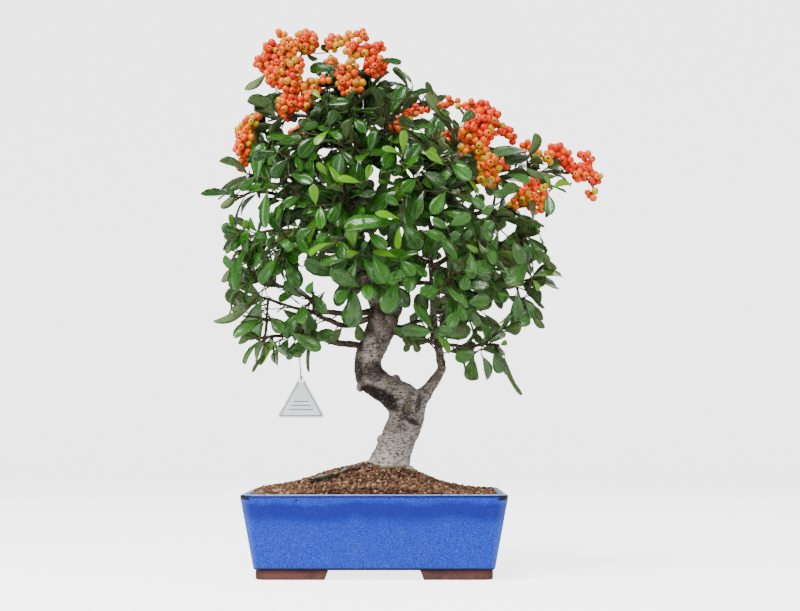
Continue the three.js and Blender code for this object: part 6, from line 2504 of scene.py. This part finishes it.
@dataclass
class Tag:
    """A three-cornered card with round corners and a hole, hung on a wire from the lowest limb."""

    height: float = 43
    half_width: float = 24
    thickness: float = 0.9
    corner: float = 5
    hole_down: float = 6.5
    hole_radius: float = 2.4
    rules: tuple[Row, ...] = ((27, 7), (31, 9.5), (35, 12))

    def outline(self) -> Array:
        """The card's edge, with each corner a curve between points on its two sides.

        Returns:
            The edge's points, x and z from the card's upper corner.
        """
        right, left = [self.half_width, -self.height], [-self.half_width, -self.height]
        ends = np.array([[0, 0], right, left], dtype=float)
        parts = []
        share = np.linspace(0, 1, 13)[:, None]
        for order, end in enumerate(ends):
            before, after = ends[(order + 2) % 3], ends[(order + 1) % 3]
            start = end + unit(before - end) * self.corner
            stop = end + unit(after - end) * self.corner
            parts.append(start * (1 - share) ** 2 + end * 2 * share * (1 - share) + stop * share**2)
            side = stop + (after + unit(end - after) * self.corner - stop) * np.linspace(0, 1, 42)[1:-1, None]
            parts.append(side)
        return np.concatenate(parts)

    def build(self) -> Skin:
        """The card: rings from the hole out to the edge on both faces, rounded a little at the edge.

        Returns:
            The skin of the piece.
        """
        edge = self.outline()
        middle = np.array([0, -self.hole_down])
        way = unit(edge - middle)
        hole = middle + way * self.hole_radius
        inward = np.array([0.0, 0.15, 0.4, 0.6, 0.75, 0.85, 0.91, 0.95, 0.99])
        shares = np.concatenate([inward, [1.0], inward[:0:-1]])
        half = self.thickness / 2
        depth = half * np.concatenate([[-0.7], -np.ones(8), [0.0], np.ones(8)])
        plan = hole[None] + (edge - hole)[None] * shares[:, None, None]
        low, high = (np.array(corner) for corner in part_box("tag"))
        centre = from_row((low + high) / 2)
        top = from_row(high)[2] + self.corner * 0.42
        points = joined(plan[..., 0] + centre[0], depth[:, None] + centre[1], plan[..., 1] + top)
        inside = np.linalg.norm(plan[:, :, None] - edge, axis=-1).min(axis=-1) / 10
        place = joined(inside, plan[..., 1] / self.height)
        skin = Skin()
        skin.add(points, [net(*plan.shape[:2], round_rows=True)], 0, place, age=0.0)
        for down, reach in self.rules:
            skin.add(*self.rule(down, reach, centre, top), 0, age=1.0)
        return skin

    def rule(self, down: float, reach: float, centre: Array, top: float) -> tuple[Array, list[Array]]:
        """A thin raised line of paint across the card's front: a flat bar with four corners a ring.

        Args:
            down: How far it lies below the top.
            reach: Half its length.
            centre: The card's middle.
            top: The height of the card's upper corner.

        Returns:
            The points and the faces.
        """
        share = np.linspace(-1, 1, 12)[:, None]
        section = np.array([[-0.45, 0.02], [0.45, 0.02], [0.45, -0.06], [-0.45, -0.06]])
        front = centre[1] - self.thickness / 2
        points = joined(centre[0] + share * reach, front + section[:, 1], top - down + section[:, 0])
        return points, shell(*points.shape[:2])

    def dress(self, finishes: Finishes) -> None:
        """Builds the card, and gives the wire its finish."""
        dress(self.build().piece("tag_plate", [finishes.card], smooth=False), "tag_card", "tag")
        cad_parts["tag_wire"].material_slots[0].material = finishes.wire


@dataclass
class Studio:
    """A pale seamless floor, soft lamps, and the camera at the photograph's viewing angle."""

    floor_reach: float = 2.6
    wall_reach: float = 4.6
    wall_height: float = 3.4
    glow: float = 3.2
    air: float = 0.15
    aim: Row = (0.0, 0.0, 0.28)

    def floor(self) -> None:
        """A wide flat dish that curves up all round: rings whose height grows past the flat part."""
        skin = Skin()
        rings, steps = 60, 96
        reach = np.linspace(0.002, 1, rings)[:, None] * self.wall_reach
        past = np.clip((reach - self.floor_reach) / (self.wall_reach - self.floor_reach), 0, 1)
        turn = turns(steps)
        height = self.wall_height * (1 - np.sqrt(1 - past**2))
        points = joined(reach * np.cos(turn), reach * np.sin(turn), height)
        skin.add(points / MM, [net(rings, steps), np.arange(steps)[None]])
        recipe = Recipe("studio_floor")
        paper = recipe.noise(recipe.spot(), 3, 2)
        pale = recipe.mix(recipe.band(paper, 0.2, 0.8), (0.9, 0.9, 0.9, 1), (0.93, 0.93, 0.93, 1))
        direct = recipe.add("LightPath", {}, "Is Camera Ray")
        glow = recipe.times(direct, self.glow)
        material = recipe.done(
            Base_Color=pale, Roughness=0.9, Emission_Color=(1, 1, 1, 1), Emission_Strength=glow)
        skin.piece("studio_floor", [material])

    def lamp(self, name: str, place: Row, size: Row, power: float) -> None:
        """A soft rectangular lamp that looks at the tree.

        Args:
            name: The lamp's name.
            place: Where it stands, in metres.
            size: Its width and height.
            power: Its strength in watts.
        """
        light = bpy.data.lights.new(name, "AREA")
        light.shape = "RECTANGLE"
        light.size, light.size_y = size
        light.energy = power
        lamp = bpy.data.objects.new(name, light)
        lamp.location = place
        way = np.array(place) - np.array(self.aim)
        level = math.hypot(way[0], way[1])
        lamp.rotation_euler = (math.atan2(level, way[2]), 0, math.atan2(way[0], -way[1]))
        bpy.context.scene.collection.objects.link(lamp)

    def build(self) -> None:
        """Sets the floor, the lamps, the world's light and the camera."""
        self.floor()
        self.lamp("lamp_over", (-0.5, -0.7, 1.9), (0.9, 0.8), 66)
        self.lamp("lamp_left", (-1.6, -0.75, 0.85), (0.4, 1.3), 18)
        self.lamp("lamp_right", (1.6, -0.85, 0.8), (0.4, 1.3), 13)
        self.lamp("lamp_back", (0.3, 1.6, 1.3), (1.4, 0.9), 10)
        self.lamp("lamp_front", (-0.25, -1.9, 0.75), (0.5, 0.5), 7)
        world = bpy.data.worlds.new("studio_air")
        world.use_nodes = True
        colour, strength = world.node_tree.nodes["Background"].inputs[:2]
        colour.default_value = (1, 1, 1, 1)
        strength.default_value = self.air
        bpy.context.scene.world = world
        camera = bpy.data.cameras.new("camera")
        camera.lens = CAMERA_LENS
        camera.sensor_width = 36
        camera.clip_end = 30
        eye = bpy.data.objects.new("camera", camera)
        eye.location = to_row(EYE)
        eye.rotation_euler = (math.radians(90 + CAMERA_PITCH), 0, 0)
        bpy.context.scene.collection.objects.link(eye)
        bpy.context.scene.camera = eye


def main() -> None:
    """Builds the studio and then the object, piece by piece."""
    logging.basicConfig(level=logging.INFO, format="%(name)s: %(message)s")
    Studio().build()
    finishes = Finishes()
    Pot().dress(finishes)
    Soil().dress(finishes)
    Tree().dress(finishes)
    Foliage().dress(finishes)
    Berries().dress(finishes)
    Tag().dress(finishes)


if __name__ == "__main__":
    main()
